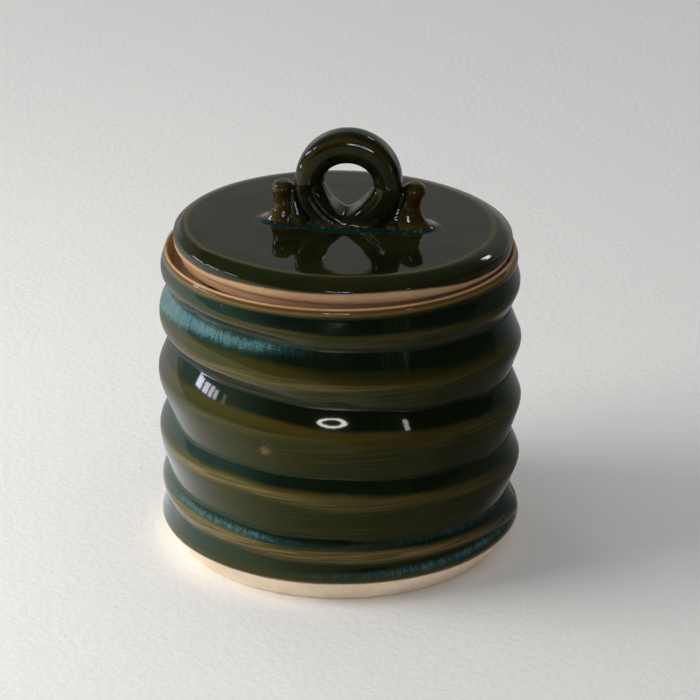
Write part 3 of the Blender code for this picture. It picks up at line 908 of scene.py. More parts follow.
def darker(tint, share):
    """A colour taken towards black, worked out beforehand."""
    return mixed(tint, (0, 0, 0), share)


def clouded(finish, colours, clouds, depth=1.0):
    """Olive glaze that deepens in slow clouds."""
    deep = mixed(colours.olive, colours.deep, depth)
    return finish.blend(finish.step(clouds, 0.45, 0.85), colours.olive, deep)


def frayed_end(finish, place, scale=350.0, size=0.35):
    """How far a point lies past the end of the glaze, in mm, with that end frayed."""
    return finish.attribute("bare") + (finish.noise(place, scale, 3.0, 0.6) - 0.5) * size


def glaze_wobble(finish, place):
    """The slow unevenness of a run glaze, from 0 to 1."""
    return finish.noise(place, 95.0, 2.0, 0.45) * 0.8 + finish.noise(place, 420.0, 2.0, 0.5) * 0.2


def clay_grain(finish, place):
    """Grog and tool marks of bare clay, from 0 to 1."""
    grit = finish.noise(place, 2600.0, 3.0, 0.65)
    turned_lines = finish.noise(finish.scaled(place, (30.0, 30.0, 2400.0)), 1.0, 2.0, 0.5)
    return grit * 0.6 + turned_lines * 0.4


def clay_colour(finish, place, light, speck, toasting):
    """Bare clay with slow toasting towards the colour of its fine specks."""
    toast = finish.step(finish.noise(place, 70.0, 4.0, 0.6), 0.36, 0.66)
    body = finish.blend(toast, light, mixed(light, speck, toasting))
    grains = finish.step(finish.noise(place, 1900.0, 2.0, 0.6), 0.60, 0.72)
    body = finish.blend(grains * 0.35, body, speck)
    pale = finish.step(finish.noise(place, 1300.0, 2.0, 0.6), 0.60, 0.75)
    return finish.blend(pale * 0.35, body, [min(1.0, value * 1.35) for value in light])


def glaze_over_clay(finish, place, glaze, clay, bare, ends, rust, gloss, gleam, flecks=0.0, sunk=0.0):
    """Lay a glaze over its clay: it turns to rust where it ends, and the clay beyond is dull.

    bare is in mm past the glaze's end, and ends says where on that scale the rust begins, where
    it is full and where all is clay. flecks is further relief, and sunk how much lower the clay
    lies."""
    rust_from, rust_to, clay_to = ends
    tint = finish.blend(finish.step(bare, rust_from, rust_to) * 0.9, glaze, rust)
    uncovered = finish.step(bare, -0.04, clay_to)
    tint = finish.blend(uncovered, tint, clay)
    roughness = gloss * (1 - uncovered) + uncovered * CLAY_ROUGHNESS
    relief = glaze_wobble(finish, place) * 0.35 * (1 - uncovered)
    relief = relief + clay_grain(finish, place) * uncovered + flecks - uncovered * sunk
    finish.surface(tint, roughness, finish.bump(relief, RELIEF_DEPTH), GLAZE_IOR, gleam)


def crock_glaze(colours):
    """Glaze of the crock, by how it has run over the ridges, and the bare clay beside it."""
    finish = Finish(bpy.data.materials.new("crock_run_glaze"))
    place = finish.place()
    z = finish.parts(place)[2]
    slow = finish.noise(place, 60.0, 4.0, 0.55)
    fine = finish.noise(place, 700.0, 4.0, 0.6)
    streaks = finish.noise(finish.scaled(place, (900.0, 900.0, 95.0)), 1.0, 4.0, 0.6)
    long_streaks = finish.noise(finish.scaled(place, (330.0, 330.0, 42.0)), 1.0, 3.0, 0.55)
    flecks = finish.noise(finish.scaled(place, (2300.0, 2300.0, 800.0)), 1.0, 3.0, 0.6)
    lines = finish.noise(finish.scaled(place, (45.0, 45.0, 1500.0)), 1.0, 3.0, 0.6)
    sine, cosine = finish.attribute("ridge_sin"), finish.attribute("ridge_cos")
    phase = finish.maths("ARCTAN2", sine, cosine) / TURN
    rise = phase * finish.attribute("span")
    cool = finish.attribute("cool")

    tint = clouded(finish, colours, slow + fine * 0.3, 0.5)
    brushed = finish.step(lines + (slow - 0.5) * 0.4, 0.50, 0.74)
    tint = finish.blend(brushed * 0.22, tint, mixed(colours.amber, colours.straw, 0.25))
    ragged = rise - finish.attribute("thick_from") + (fine - 0.5) * 1.0 + (slow - 0.5) * 1.4
    thick = finish.step(ragged, -0.8, 0.8)
    upper_edge = 1 - finish.step(phase, -0.49, -0.46)
    gathered = finish.maths("MAXIMUM", thick, upper_edge)
    dark = finish.blend(cool * (0.55 + streaks * 0.9), colours.deep, colours.teal)
    tint = finish.blend(gathered * 0.93, tint, dark)
    amber = finish.attribute("amber") * (0.75 + lines * 0.5) * (1 - thick)
    tint = finish.blend(amber, tint, finish.blend(cool * 1.2, colours.amber, colours.moss))
    threads = finish.step(lines, 0.40, 0.60)
    breaking = finish.attribute("straw") * (0.30 + threads * 0.7)
    tint = finish.blend(breaking, tint, colours.straw)

    milk = finish.attribute("milk")
    pool = finish.step(milk + (long_streaks - 0.5) * 0.4, 0.12, 0.60)
    tint = finish.blend(pool * 0.8, tint, mixed(colours.teal, colours.deep, 0.25))
    speckles = finish.noise(place, 3600.0, 2.0, 0.55)
    curdled = finish.step(streaks * 0.35 + speckles * 0.65 + milk * 0.22, 0.60, 0.73)
    tint = finish.blend(curdled * finish.step(milk, 0.05, 0.8) * 0.80, tint, colours.milk)

    spot = finish.node(
        "ShaderNodeVectorMath", {"operation": "DISTANCE"}, {0: place, 1: IRON_SPOT}, output="Value")
    iron = 1 - finish.step(spot + (fine - 0.5) * 0.0050, 0.0004, 0.0028)
    tint = finish.blend(iron * 0.6, tint, mixed(colours.rust, colours.straw, 0.45))

    bare = frayed_end(finish, place)
    near_rim = finish.step(z, 0.08, 0.086)
    thin = finish.step(bare + (slow - 0.5) * 0.8, -2.7, -0.9) * near_rim
    tint = finish.blend(thin * 0.85, tint, mixed(colours.amber, colours.rust, 0.22))
    breaks = finish.hump(bare + (lines - 0.5) * 0.6, -1.35, 0.75) * near_rim
    tint = finish.blend(breaks * 0.35, tint, colours.straw)

    rim_clay = clay_colour(finish, place, colours.clay, colours.rust, 0.35)
    foot_clay = clay_colour(finish, place, colours.cream, colours.clay, 0.25)
    clay = finish.blend(finish.step(z, 0.03, 0.06), foot_clay, rim_clay)
    toasted = 1 - finish.step(bare + (slow - 0.5) * 0.8, 0.0, 0.65)
    clay = finish.blend(toasted * 0.85, clay, mixed(colours.rust, colours.clay, 0.45))
    crease = finish.step(finish.maths("ABSOLUTE", phase), 0.455, 0.485) * finish.step(z, 0.0, 0.012)
    gloss = 0.045 + finish.step(milk, 0.2, 1.0) * flecks * 0.10 + fine * 0.02 + crease * 0.4
    glaze_over_clay(
        finish, place, tint, clay, bare, (-0.55, 0.02, 0.10), colours.rust, gloss, CROCK_GLEAM,
        sunk=0.3)
    return finish.owner


def lid_outline(sizes):
    """Half section of the lid, from the middle of its top round to the middle of its underside."""
    top, radius = sizes.lid_top, sizes.lid_radius
    points = [(0.0, top)]
    points += straight(points[-1], (LID_BREAK_RADIUS * 0.8, top - LID_DISH / 2), 74)
    points += straight(points[-1], (LID_BREAK_RADIUS - LID_FLAT_EDGE, top - LID_DISH), 12)
    shoulder = top - LID_DISH * 1.1
    flat, fall = radius - 0.0001 - LID_BREAK_RADIUS, shoulder - LID_GLAZE_HEIGHT
    for index in range(LID_SHOULDER_STEPS + 1):
        share = math.sin(math.pi / 2 * index / LID_SHOULDER_STEPS)
        drop = 1.0 - (1.0 - share ** LID_SHOULDER_BEND) ** 0.5
        drop += LID_SHOULDER_LEAN * (share - drop)
        points.append((LID_BREAK_RADIUS + flat * share, shoulder - fall * drop))
    edge = (radius, LID_EDGE_BOTTOM + LID_EDGE_TOP)
    points += straight((radius, LID_GLAZE_HEIGHT - 0.0002), edge, 8)
    points += eased((radius, LID_EDGE_BOTTOM), LID_EDGE_ROUND)
    points += [(LID_STEP_RADIUS + LID_STEP_CORNER, LID_EDGE_BOTTOM)]
    points += [(LID_STEP_RADIUS, LID_EDGE_BOTTOM - LID_STEP_CORNER)]
    points += straight(points[-1], (LID_STEP_RADIUS, LID_STEP_BOTTOM + 0.0005), 4)
    points += eased((LID_STEP_RADIUS, LID_STEP_BOTTOM), LID_STEP_ROUND)
    inner = sizes.bell_radius - BELL_WALL
    points += straight(points[-1], (inner, LID_STEP_BOTTOM), 12)
    centre = (inner - LID_UNDERSIDE_CORNER, LID_STEP_BOTTOM)
    points += arc(centre, LID_UNDERSIDE_CORNER, 0, 90, 8)[1:]
    points += straight(points[-1], (0.0, LID_UNDERSIDE), 24)
    return points


def foot_distance(x, y):
    """Distance on the lid from the handle's three feet, in metres and in the handle's own frame."""
    feet = [(0.0, RING_FOOT[1][1], RING_FOOT[1][2])]
    for curl in (LEFT_CURL, RIGHT_CURL):
        _, inner, outer, depth = curl[1]
        feet.append(((inner + outer) / 2, abs(outer - inner) / 2, depth))
    nearest = np.full_like(x, 1.0)
    for centre, half_width, half_depth in feet:
        reach = np.hypot((x - centre) / half_width, y / half_depth)
        nearest = np.minimum(nearest, (reach - 1.0) * min(half_width, half_depth))
    return nearest


def build_lid(sizes, colours):
    """The lid: a turned plate, with the glaze pooled and raised round the handle's feet."""
    piece = turned("lid", lid_outline(sizes), sizes.round_steps)
    places = corners_of(piece)
    x, y, z = places.T.copy()
    radius = np.hypot(x, y)
    angle = np.arctan2(y, x)
    degrees = np.degrees(angle)
    turn = -sizes.handle_turn
    handle_x = (x - HANDLE_SHIFT) * math.cos(turn) - y * math.sin(turn)
    handle_y = (x - HANDLE_SHIFT) * math.sin(turn) + y * math.cos(turn)
    off = foot_distance(handle_x, handle_y)
    on_top = z > LID_GLAZE_HEIGHT + 0.0016
    cling = LID_CLING * np.exp(-(np.maximum(off, 0.0) / LID_CLING_REACH) ** 1.4)
    rings = LID_RING_DEPTH * finger_rings(radius, LID_RING_PITCH, angle)
    rings *= smooth_step(*LID_RING_EASE, radius) * (1 - smooth_step(*LID_RING_FADE, radius))
    places[:, 2] += np.where(on_top, cling + rings, 0.0)
    outward = smooth_step(0.020, LID_BREAK_RADIUS, radius)
    outward *= 1 - smooth_step(LID_BREAK_RADIUS + 0.0003, sizes.lid_radius, radius)
    outward *= tabled(LID_BREAK_OUT, degrees) * MM * (z > LID_GLAZE_HEIGHT)
    places[:, :2] *= (1 + outward / np.maximum(radius, MM))[:, None]
    move_corners(piece, places)

    line = LID_GLAZE_HEIGHT + waver(angle, *LID_LINE_WAVES) - tabled(LID_GLAZE_DROP, degrees) * MM
    outer = radius > LID_STEP_RADIUS - 0.002
    bare = np.where(outer, line - z, 0.0)
    underneath = (z < LID_GLAZE_HEIGHT - 0.001) & (radius < LID_STEP_RADIUS + 0.001)
    bare = np.where(underneath, np.maximum(radius - 0.0388, GLAZED_OVER), bare)
    bare = np.where(~outer & on_top, GLAZED_OVER, bare)
    front = smooth_step(1.0 * MM, -3.0 * MM, handle_y)
    near = 1 - smooth_step(2.2 * MM, 3.4 * MM, off - 0.6 * MM * front)
    store(piece, "bare", bare / MM)
    store(piece, "feet", off / MM)
    store(piece, "pool", near * (0.25 + 0.75 * front))
    store(piece, "radius", radius / MM)
    set_down(piece, lid_place(sizes))
    finish_piece(piece, lid_glaze(colours), "lid", ["lid_plate"], sharp=35)


def lid_glaze(colours):
    """Glaze of the lid: dark, amber at its break and round the feet, bare at the edge."""
    finish = Finish(bpy.data.materials.new("lid_pooled_glaze"))
    place = finish.place()
    slow = finish.noise(place, 65.0, 4.0, 0.55)
    fine = finish.noise(place, 800.0, 4.0, 0.6)
    flecks = finish.noise(place, 2300.0, 3.0, 0.6)
    radius = finish.attribute("radius")
    pooled = finish.attribute("pool")
    tint = clouded(finish, colours, slow + fine * 0.25)
    # Painted reflection: past the break the sloping shoulder is a little darker, for the darker room
    # it mirrors.
    outside = finish.step(radius, 42.0, 44.5)
    tint = finish.blend(outside * 0.6, tint, mixed(colours.olive, colours.deep, 0.25))
    break_ring = finish.hump(radius + (slow - 0.5) * 0.8, 42.6, 1.25)
    tint = finish.blend(break_ring * 0.75, tint, mixed(colours.amber, colours.straw, 0.2))
    pool = finish.step(pooled + (fine - 0.5) * 0.35, 0.35, 0.65)
    tint = finish.blend(pool * 0.9, tint, mixed(colours.deep, colours.teal, 0.4))
    brown = finish.hump(pooled + (fine - 0.5) * 0.3, 0.28, 0.22)
    tint = finish.blend(brown * 0.55, tint, mixed(colours.amber, colours.rust, 0.2))
    join = finish.hump(finish.attribute("feet") + (fine - 0.5) * 1.2, 0.1, 0.8)
    join = join * finish.step(finish.noise(place, 520.0, 2.0, 0.5), 0.56, 0.66)
    tint = finish.blend(join * 0.5, tint, mixed(colours.rust, colours.amber, 0.4))
    # Painted glints: pale specks in the pool stand in for highlights on its glaze.
    pool_glints = finish.step(finish.noise(place, 700.0, 2.0, 0.5) * pool, 0.58, 0.66)
    tint = finish.blend(pool_glints * 0.25, tint, colours.milk)

    bare = frayed_end(finish, place, 420.0, 0.22)
    clay = clay_colour(finish, place, colours.clay, colours.rust, 0.25)
    # Painted shade: the lower part of the bare edge, where it turns under, is darker and redder.
    lower = finish.step(bare, 1.5, 2.2)
    clay = finish.blend(lower * 0.45, clay, mixed(colours.clay, colours.rust, 0.7))
    toasted = 1 - finish.step(bare, 0.0, 0.5)
    clay = finish.blend(toasted * 0.7, clay, mixed(colours.rust, colours.clay, 0.4))
    glaze_over_clay(
        finish, place, tint, clay, bare, (-0.45, 0.0, 0.08), colours.rust, 0.045 + fine * 0.03,
        GLAZE_GLEAM, flecks=flecks * 0.01)
    return finish.owner


def bell_outline(sizes):
    """Closed half section of the bell: outside, rounded mouth, inside, top face."""
    top = LID_STEP_BOTTOM - JOIN_GAP
    outer, inner = sizes.bell_radius, sizes.bell_radius - BELL_WALL
    lip = BELL_WALL / 2
    points = [(inner, top), (outer + BELL_FILLET, top)]
    points += arc((outer + BELL_FILLET, top - BELL_FILLET), BELL_FILLET, 90, 180, 6)[1:]
    points += straight(points[-1], (outer, sizes.bell_mouth + lip), 60)
    points += arc((outer - lip, sizes.bell_mouth + lip), lip, 0, -180, 14)[1:]
    points += straight(points[-1], (inner, top), 60)
    return points


def build_bell(sizes, colours):
    """The butter bell: a turned cup that hangs mouth down from the lid."""
    piece = turned("bell", bell_outline(sizes), sizes.round_steps)
    places = corners_of(piece)
    x, y, height = places.T.copy()
    radius = np.hypot(x, y)
    angle = np.arctan2(y, x)
    top = LID_STEP_BOTTOM - JOIN_GAP
    share = np.clip((height - sizes.bell_mouth) / (top - sizes.bell_mouth), 0, 1)
    outside = radius > sizes.bell_radius - BELL_WALL / 2
    rings = finger_rings(height, BELL_RING_PITCH, angle)
    depth = BELL_RING_DEPTH * np.where(outside, 1.0, -0.4)
    swell = (BELL_SWELL + depth * rings) * np.sin(np.pi * share)
    places[:, :2] *= ((radius + swell) / radius)[:, None]
    move_corners(piece, places)
    store(piece, "crest", np.where(outside, rings, -rings))
    bare_to = sizes.bell_mouth + BELL_BARE_HEIGHT + waver(angle, *BELL_LINE_WAVES)
    store(piece, "bare", (bare_to - height) / MM)
    set_down(piece, lid_place(sizes))
    finish_piece(piece, bell_glaze(colours), "lid", ["butter_bell"], sharp=60)


def bell_glaze(colours):
    """Glaze of the bell, wiped off its mouth."""
    finish = Finish(bpy.data.materials.new("bell_glaze"))
    place = finish.place()
    slow = finish.noise(place, 60.0, 4.0, 0.55)
    fine = finish.noise(place, 700.0, 4.0, 0.6)
    streaks = finish.noise(finish.scaled(place, (700.0, 700.0, 90.0)), 1.0, 4.0, 0.6)
    crest = finish.attribute("crest")
    tint = clouded(finish, colours, slow + fine * 0.3)
    tint = finish.blend(finish.step(crest + (streaks - 0.5), 0.3, 1.2) * 0.5, tint, colours.amber)
    tint = finish.blend(finish.step(streaks - crest * 0.1, 0.58, 0.72) * 0.4, tint, colours.teal)
    clay = clay_colour(finish, place, colours.clay, colours.rust, 0.3)
    glaze_over_clay(
        finish, place, tint, clay, frayed_end(finish, place), (-0.4, 0.02, 0.10), colours.rust,
        0.24 + fine * 0.06, GLAZE_GLEAM)
    return finish.owner


def stacked(name, levels):
    """A closed stack of flat ellipses, (height, x centre, half width, half depth), as coiled clay."""
    begin()
    height, centre, half_width, half_depth = levels[0]
    bpy.ops.mesh.primitive_circle_add(
        vertices=COIL_STEPS, radius=1.0, fill_type="NGON", location=(centre, 0.0, height))
    piece = named(name)
    piece.scale = (half_width, half_depth, 1.0)
    bpy.ops.object.transform_apply(location=True, rotation=True, scale=True)
    bpy.ops.object.mode_set(mode="EDIT")
    bpy.ops.mesh.select_all(action="SELECT")
    for before, after in zip(levels, levels[1:]):
        bpy.ops.mesh.extrude_region_move(
            TRANSFORM_OT_translate={"value": (after[1] - before[1], 0.0, after[0] - before[0])})
        bpy.ops.transform.resize(
            value=(after[2] / before[2], after[3] / before[3], 1.0),
            center_override=(after[1], 0.0, after[0]))
    end_edit()
    return piece


def apply_modifier(piece, kind, settings):
    """Add a modifier and apply it."""
    pick(piece)
    made = piece.modifiers.new(kind.lower(), kind)
    for name, value in settings.items():
        setattr(made, name, value)
    bpy.ops.object.modifier_apply(modifier=made.name)


def hole_reach(down):
    """How far the hole reaches from the ring's centre, by the angle from straight down.

    Above the centre the hole is half an ellipse, and below it narrows to where the legs meet."""
    sideways, fall = np.abs(np.sin(down)), np.cos(down)
    below = (sideways / HOLE_HALF_WIDTH) ** HOLE_NARROWING
    below = below + (np.maximum(fall, 0.0) / HOLE_FALL) ** HOLE_NARROWING
    above = (sideways / HOLE_HALF_WIDTH) ** 2 + (np.minimum(fall, 0.0) / HOLE_RISE) ** 2
    return np.where(fall > 0.0, below ** (-1 / HOLE_NARROWING), above ** -0.5)


def coil_ring(sizes):
    """The standing ring: a torus whose coil thickens to its top and opens where its legs meet."""
    begin()
    outer = sizes.ring_radius
    middle, thick = (outer + sizes.ring_hole) / 2, (outer - sizes.ring_hole) / 2
    bpy.ops.mesh.primitive_torus_add(
        major_segments=180, minor_segments=72, major_radius=middle, minor_radius=thick,
        rotation=(math.pi / 2, 0.0, 0.0))
    ring = named("ring")
    bpy.ops.object.transform_apply(location=True, rotation=True, scale=True)
    places = corners_of(ring)
    out = np.hypot(places[:, 0], places[:, 2])
    down = np.arctan2(places[:, 0], -places[:, 2])
    across = (out - middle) / thick
    deep = places[:, 1] / thick
    low = np.maximum(np.cos(down), 0.0) ** 2
    inner = np.clip(-across, 0.0, 1.0)
    square = RING_SQUARENESS + 1.6 * low * (across < 0) + 0.9 * smooth_step(-0.2, 0.5, across)
    across = np.sign(across) * np.abs(across) ** (2 / square)
    deep = np.sign(deep) * np.abs(deep) ** (2 / square)
    hole = hole_reach(down)
    reach = (outer + hole) / 2 + (outer - hole) / 2 * across
    dent = np.zeros_like(down)
    for depth, place, width, first, last in RING_GROOVES:
        along = smooth_step(*first, np.degrees(down)) * (1 - smooth_step(*last, np.degrees(down)))
        dent += depth * gaussian(across, place, width) * along * (deep < 0)
    places[:, 0] = reach * np.sin(down) - HOLE_TIP_SHIFT * low * inner
    places[:, 2] = sizes.ring_top - outer - reach * np.cos(down) + HOLE_TILT * deep * low * inner
    places[:, 1] = RING_HALF_DEPTH * deep + dent * MM
    move_corners(ring, places)
    return ring


def join_pieces(name, *pieces):
    """Press clay pieces together to one mesh."""
    pick(*pieces)
    bpy.ops.object.join()
    return named(name)


def cut_below(piece, height):
    """Cut a piece flat at a height and close it there."""
    pick(piece)
    bpy.ops.object.mode_set(mode="EDIT")
    bpy.ops.mesh.select_all(action="SELECT")
    bpy.ops.mesh.bisect(
        plane_co=(0, 0, height), plane_no=(0, 0, 1), use_fill=True, clear_inner=True,
        threshold=HAIR)
    end_edit()


def hollowness(piece):
    """How hollow the surface is at each corner: below 0 on edges and above 0 in creases."""
    places = corners_of(piece)
    edges = np.zeros(len(piece.data.edges) * 2, np.int32)
    piece.data.edges.foreach_get("vertices", edges)
    first, second = edges.reshape(-1, 2).T
    count = np.bincount(edges, minlength=len(places))[:, None]

    def neighbours(values):
        total = np.zeros_like(values)
        np.add.at(total, first, values[second])
        np.add.at(total, second, values[first])
        return total / np.maximum(count, 1)

    normals = np.zeros(len(places) * 3, np.float32)
    piece.data.vertices.foreach_get("normal", normals)
    normals = normals.reshape(-1, 3)
    gaps = np.linalg.norm(places[first] - places[second], axis=1)
    bend = ((neighbours(places) - places) * normals).sum(axis=1)[:, None] / gaps.mean() ** 2
    for _ in range(HOLLOW_SOFTENING):
        bend = (bend + neighbours(bend)) / 2
    return bend[:, 0] * MM * 4


def pressed(name, parts, sizes, voxel, softening):
    """Press parts of the coil into one, soften it and cut it flat at the lid."""
    piece = join_pieces(name, *parts)
    apply_modifier(piece, "REMESH", {"mode": "VOXEL", "voxel_size": voxel, "adaptivity": 0.0})
    apply_modifier(piece, "SMOOTH", {"factor": 0.5, "iterations": softening})
    cut_below(piece, sizes.lid_top + CUT_HEIGHT)
    return piece


def finish_coil(piece, sizes, colours, node, amber):
    """Set a piece of the coil on the lid and glaze it by its hollows, its height and its amber."""
    store(piece, "hollow", hollowness(piece))
    store(piece, "rise", (corners_of(piece)[:, 2] - sizes.lid_top) / MM)
    store(piece, "amber", amber)
    set_down(piece, handle_place(sizes))
    finish_piece(piece, handle_glaze(colours), "lid", [node], sharp=60)


def build_ring(sizes, colours):
    """The handle's ring, pressed to the lid where its two legs meet."""
    foot = stacked("ring_foot", [
        (sizes.lid_top + JOIN_GAP + up, 0.0, width, depth) for up, width, depth in RING_FOOT])
    parts = (coil_ring(sizes), foot)
    piece = pressed("handle_ring", parts, sizes, RING_VOXEL, RING_SOFTENING)
    x, y, z = corners_of(piece).T
    z = z - sizes.ring_top + sizes.ring_radius
    out = np.hypot(x, z)
    side = np.abs(np.degrees(np.arctan2(x, -z)))
    line = gaussian(out, sizes.ring_radius - 0.0017, 0.0008)
    line *= smooth_step(0.0022, 0.0040, np.abs(y)) * (0.35 + 0.65 * smooth_step(60, 110, side))
    legs = gaussian(side, 22, 24) * smooth_step(0.010, 0.013, out) * (y < 0)
    finish_coil(piece, sizes, colours, "handle_loop", np.clip(line + 0.7 * legs, 0, 1))


def clay_levels(sizes, levels):
    """Levels of a stack from levels that are measured up from the lid."""
    return [
        (sizes.lid_top + JOIN_GAP + height, (inner + outer) / 2, abs(outer - inner) / 2, depth)
        for height, inner, outer, depth in levels]


def build_curl(sizes, colours, name, levels, web, node):
    """One curled end of the handle's coil, with the glaze between it and the ring."""
    parts = [
        stacked(name, clay_levels(sizes, levels)), stacked(name + "_web", clay_levels(sizes, web))]
    piece = pressed(name, parts, sizes, CURL_VOXEL, CURL_SOFTENING)
    out = np.abs(corners_of(piece)[:, 0])
    finish_coil(piece, sizes, colours, node, 0.25 + 0.75 * smooth_step(0.0150, 0.0178, out))


def handle_glaze(colours):
    """Glaze of the handle: amber on its edges, dark where it is hollow, rust at the lid."""
    name = "handle_breaking_glaze"
    if name in bpy.data.materials:
        return bpy.data.materials[name]
    finish = Finish(bpy.data.materials.new(name))
    place = finish.place()
    slow = finish.noise(place, 160.0, 4.0, 0.55)
    fine = finish.noise(place, 900.0, 4.0, 0.6)
    streaks = finish.noise(finish.scaled(place, (900.0, 900.0, 160.0)), 1.0, 3.0, 0.6)
    hollow = finish.attribute("hollow")
    amber = finish.attribute("amber")
    tint = clouded(finish, colours, slow + fine * 0.25)
    broken = finish.step(amber + (streaks - 0.5) * 0.9 + (slow - 0.5) * 0.5, 0.30, 1.05)
    tint = finish.blend(broken * 0.34, tint, mixed(colours.amber, colours.rust, 0.08))
    thin = finish.step(hollow * -1.0 + (slow - 0.5) * 0.8, 0.8, 1.7) * (0.25 + amber * 0.6)
    tint = finish.blend(thin, tint, mixed(colours.amber, colours.straw, 0.35))
    thick = finish.step(hollow + (fine - 0.5) * 0.3, 0.1, 0.9)
    tint = finish.blend(thick * 0.85, tint, mixed(colours.deep, colours.teal, 0.45))
    low = 1 - finish.step(finish.attribute("rise") + (slow - 0.5) * 3.0, 0.6, 3.0)
    low = low * finish.step(fine + slow * 0.5, 0.68, 0.90)
    tint = finish.blend(low * 0.42, tint, mixed(colours.amber, colours.rust, 0.55))
    relief = glaze_wobble(finish, place) * 0.25 + fine * 0.02
    normal = finish.bump(relief, RELIEF_DEPTH)
    finish.surface(tint, 0.04 + fine * 0.03, normal, GLAZE_IOR, HANDLE_GLEAM)
    return finish.owner


def add_lamp(name, kind, place, aim, sides, angle, tint, power):
    """One lamp that looks at a point and that nothing mirrors."""
    data = bpy.data.lights.new(name, kind)
    data.energy = power
    data.color = tint
    if kind == "SPOT":
        data.shadow_soft_size = sides[0]
        data.spot_size = math.radians(angle)
        data.spot_blend = 1.0
    else:
        data.shape = "RECTANGLE"
        data.size, data.size_y = sides
        data.spread = math.radians(angle)
    lamp = bpy.data.objects.new(name, data)
    bpy.context.scene.collection.objects.link(lamp)
    lamp.location = place
    lamp.rotation_euler = (Vector(aim) - Vector(place)).to_track_quat("-Z", "Y").to_euler()
    lamp.visible_glossy = False


def polar(azimuth, elevation, distance, height=0.05):
    """A place by its direction from the keeper, angles in degrees."""
    flat = distance * math.cos(math.radians(elevation))
    return (
        flat * math.cos(math.radians(azimuth)), flat * math.sin(math.radians(azimuth)),
        height + distance * math.sin(math.radians(elevation)))


# Lamps: name, kind, place, the point that it looks at, its sides or a spot's radius, its spread
# or a spot's cone in degrees, and its tint
LAMPS = (
    ("key", "AREA", (-0.62, -0.10, 0.38), (-0.13, -0.03, 0.0), (0.52, 0.52), 140, (1.0, 0.985, 0.955)),
    ("wall", "AREA", polar(178, 14, 1.15), (0.0, 0.0, 0.03), (1.4, 0.5), 180, (1.0, 1.0, 1.0)),
    ("back", "AREA", (-0.75, 1.15, 0.6), (-0.1, 0.55, 0.0), (0.5, 0.5), 180, (1.0, 1.0, 1.0)),
    ("corner", "SPOT", polar(-160, 30, 0.6), (-0.046, -0.034, 0.0), (0.06,), 9, (1.0, 0.93, 0.80)))
RING_GLINT_PLACE = polar(-92.8, 9.0, 1.25)


def floor_material(studio):
    """Pale paper with a faint cloud and a fine tooth."""
    finish = Finish(bpy.data.materials.new("paper_floor"))
    place = finish.place()
    cloud = finish.step(finish.noise(place, 3.0, 2.0, 0.5), 0.3, 0.7)
    tint = finish.blend(cloud, studio.floor, darker(studio.floor, 0.015))
    tooth = finish.noise(place, 420.0, 3.0, 0.6)
    finish.surface(tint, 0.9 + tooth * 0.05, finish.bump(tooth, PAPER_DEPTH), 1.3)
    return finish.owner


def screen(finish, tint, share):
    """A surface that glows with a tint where the share is 1 and lets all through where it is 0."""
    glow = finish.node("ShaderNodeEmission", inputs={"Color": tint, "Strength": 1.0})
    clear = finish.node("ShaderNodeBsdfTransparent")
    shader = finish.node("ShaderNodeMixShader", inputs={0: share, 1: clear, 2: glow})
    finish.node("ShaderNodeOutputMaterial", inputs={"Surface": shader})


def card_material(studio):
    """Dark cards with rounded ends as painted shade, paler at the left, where the window is."""
    finish = Finish(bpy.data.materials.new("dark_card"))
    place = finish.place()
    x, y, z = finish.parts(place)
    shade = finish.noise(place, 2.5, 2.0, 0.5)
    tint = finish.blend(shade, studio.room, darker(studio.room, 0.5))
    # Painted reflection of the window's wall: the cards are paler at the far left, less so up high.
    pale = finish.step(x * -1.0, 1.00, 1.72) * (1 - finish.step(z, 0.25, 0.95) * 0.6)
    tint = finish.blend(pale * (0.55 + shade * 0.8), tint, (0.40, 0.43, 0.42))
    # Painted reflection of dim window panes: faint pale stripes, low on the cards in front.
    painted_pane_stripes = sum(finish.hump(x, middle, 0.045) for middle in CARD_STRIPES)
    painted_pane_stripes = painted_pane_stripes * (1 - finish.step(z, 0.42, 0.50)) * finish.step(shade, 0.3, 0.6)
    in_front = finish.step(y * -1.0, 0.2, 0.4)
    tint = finish.blend(painted_pane_stripes * in_front * 0.16, tint, (0.8, 0.85, 0.85))
    off = finish.maths("MINIMUM", z - 0.30, 0.26) / 0.26
    back = y / CARD_RADIUS + off * off * 0.09 - finish.step(x, -0.3, 0.3) * 0.045
    screen(finish, tint, 1 - finish.step(back, 0.575, 0.605))
    return finish.owner


def sheet_material():
    """Painted reflection of the paper: how bright it looks from the pot, most towards the window,
    least at the right.
    """
    finish = Finish(bpy.data.materials.new("paper_glow"))
    x, y, _ = finish.parts(finish.place())
    reach = finish.maths("SQRT", x * x + y * y)
    west = x / reach * -1.0
    # Painted brightness of the paper's reflection, by its direction from the pot.
    level = 0.21 + finish.step(west, -0.75, 0.55) * 0.36 + finish.step(west, 0.2, 1.0) * 0.75
    level = level - finish.step(y / reach, 0.0, 0.9) * finish.step(west, -0.2, 0.8) * 0.6
    level = level - finish.step(west * -1.0, 0.6, 0.95) * 0.13
    tint = finish.node("ShaderNodeCombineColor", inputs={0: level, 1: level, 2: level * 1.02})
    above = 1 - finish.node("ShaderNodeNewGeometry", output="Backfacing")
    screen(finish, tint, above * finish.step(reach, 0.053, 0.074))
    return finish.owner


def glow_material(name, tint, strength):
    """A plain glow."""
    finish = Finish(bpy.data.materials.new(name))
    shader = finish.node("ShaderNodeEmission", inputs={"Color": tint, "Strength": strength})
    finish.node("ShaderNodeOutputMaterial", inputs={"Surface": shader})
    return finish.owner


def build_floor(studio):
    """A wide sheet of paper on the table."""
    begin()
    bpy.ops.mesh.primitive_circle_add(vertices=96, radius=7.0, fill_type="NGON")
    floor = named("floor")
    floor.data.materials.append(floor_material(studio))


def for_glaze_only(*objects):
    """Stage pieces that only the glaze mirrors: they neither show nor light anything."""
    for thing in objects:
        thing.visible_camera = False
        thing.visible_shadow = False
        thing.visible_diffuse = False
        thing.visible_transmission = False


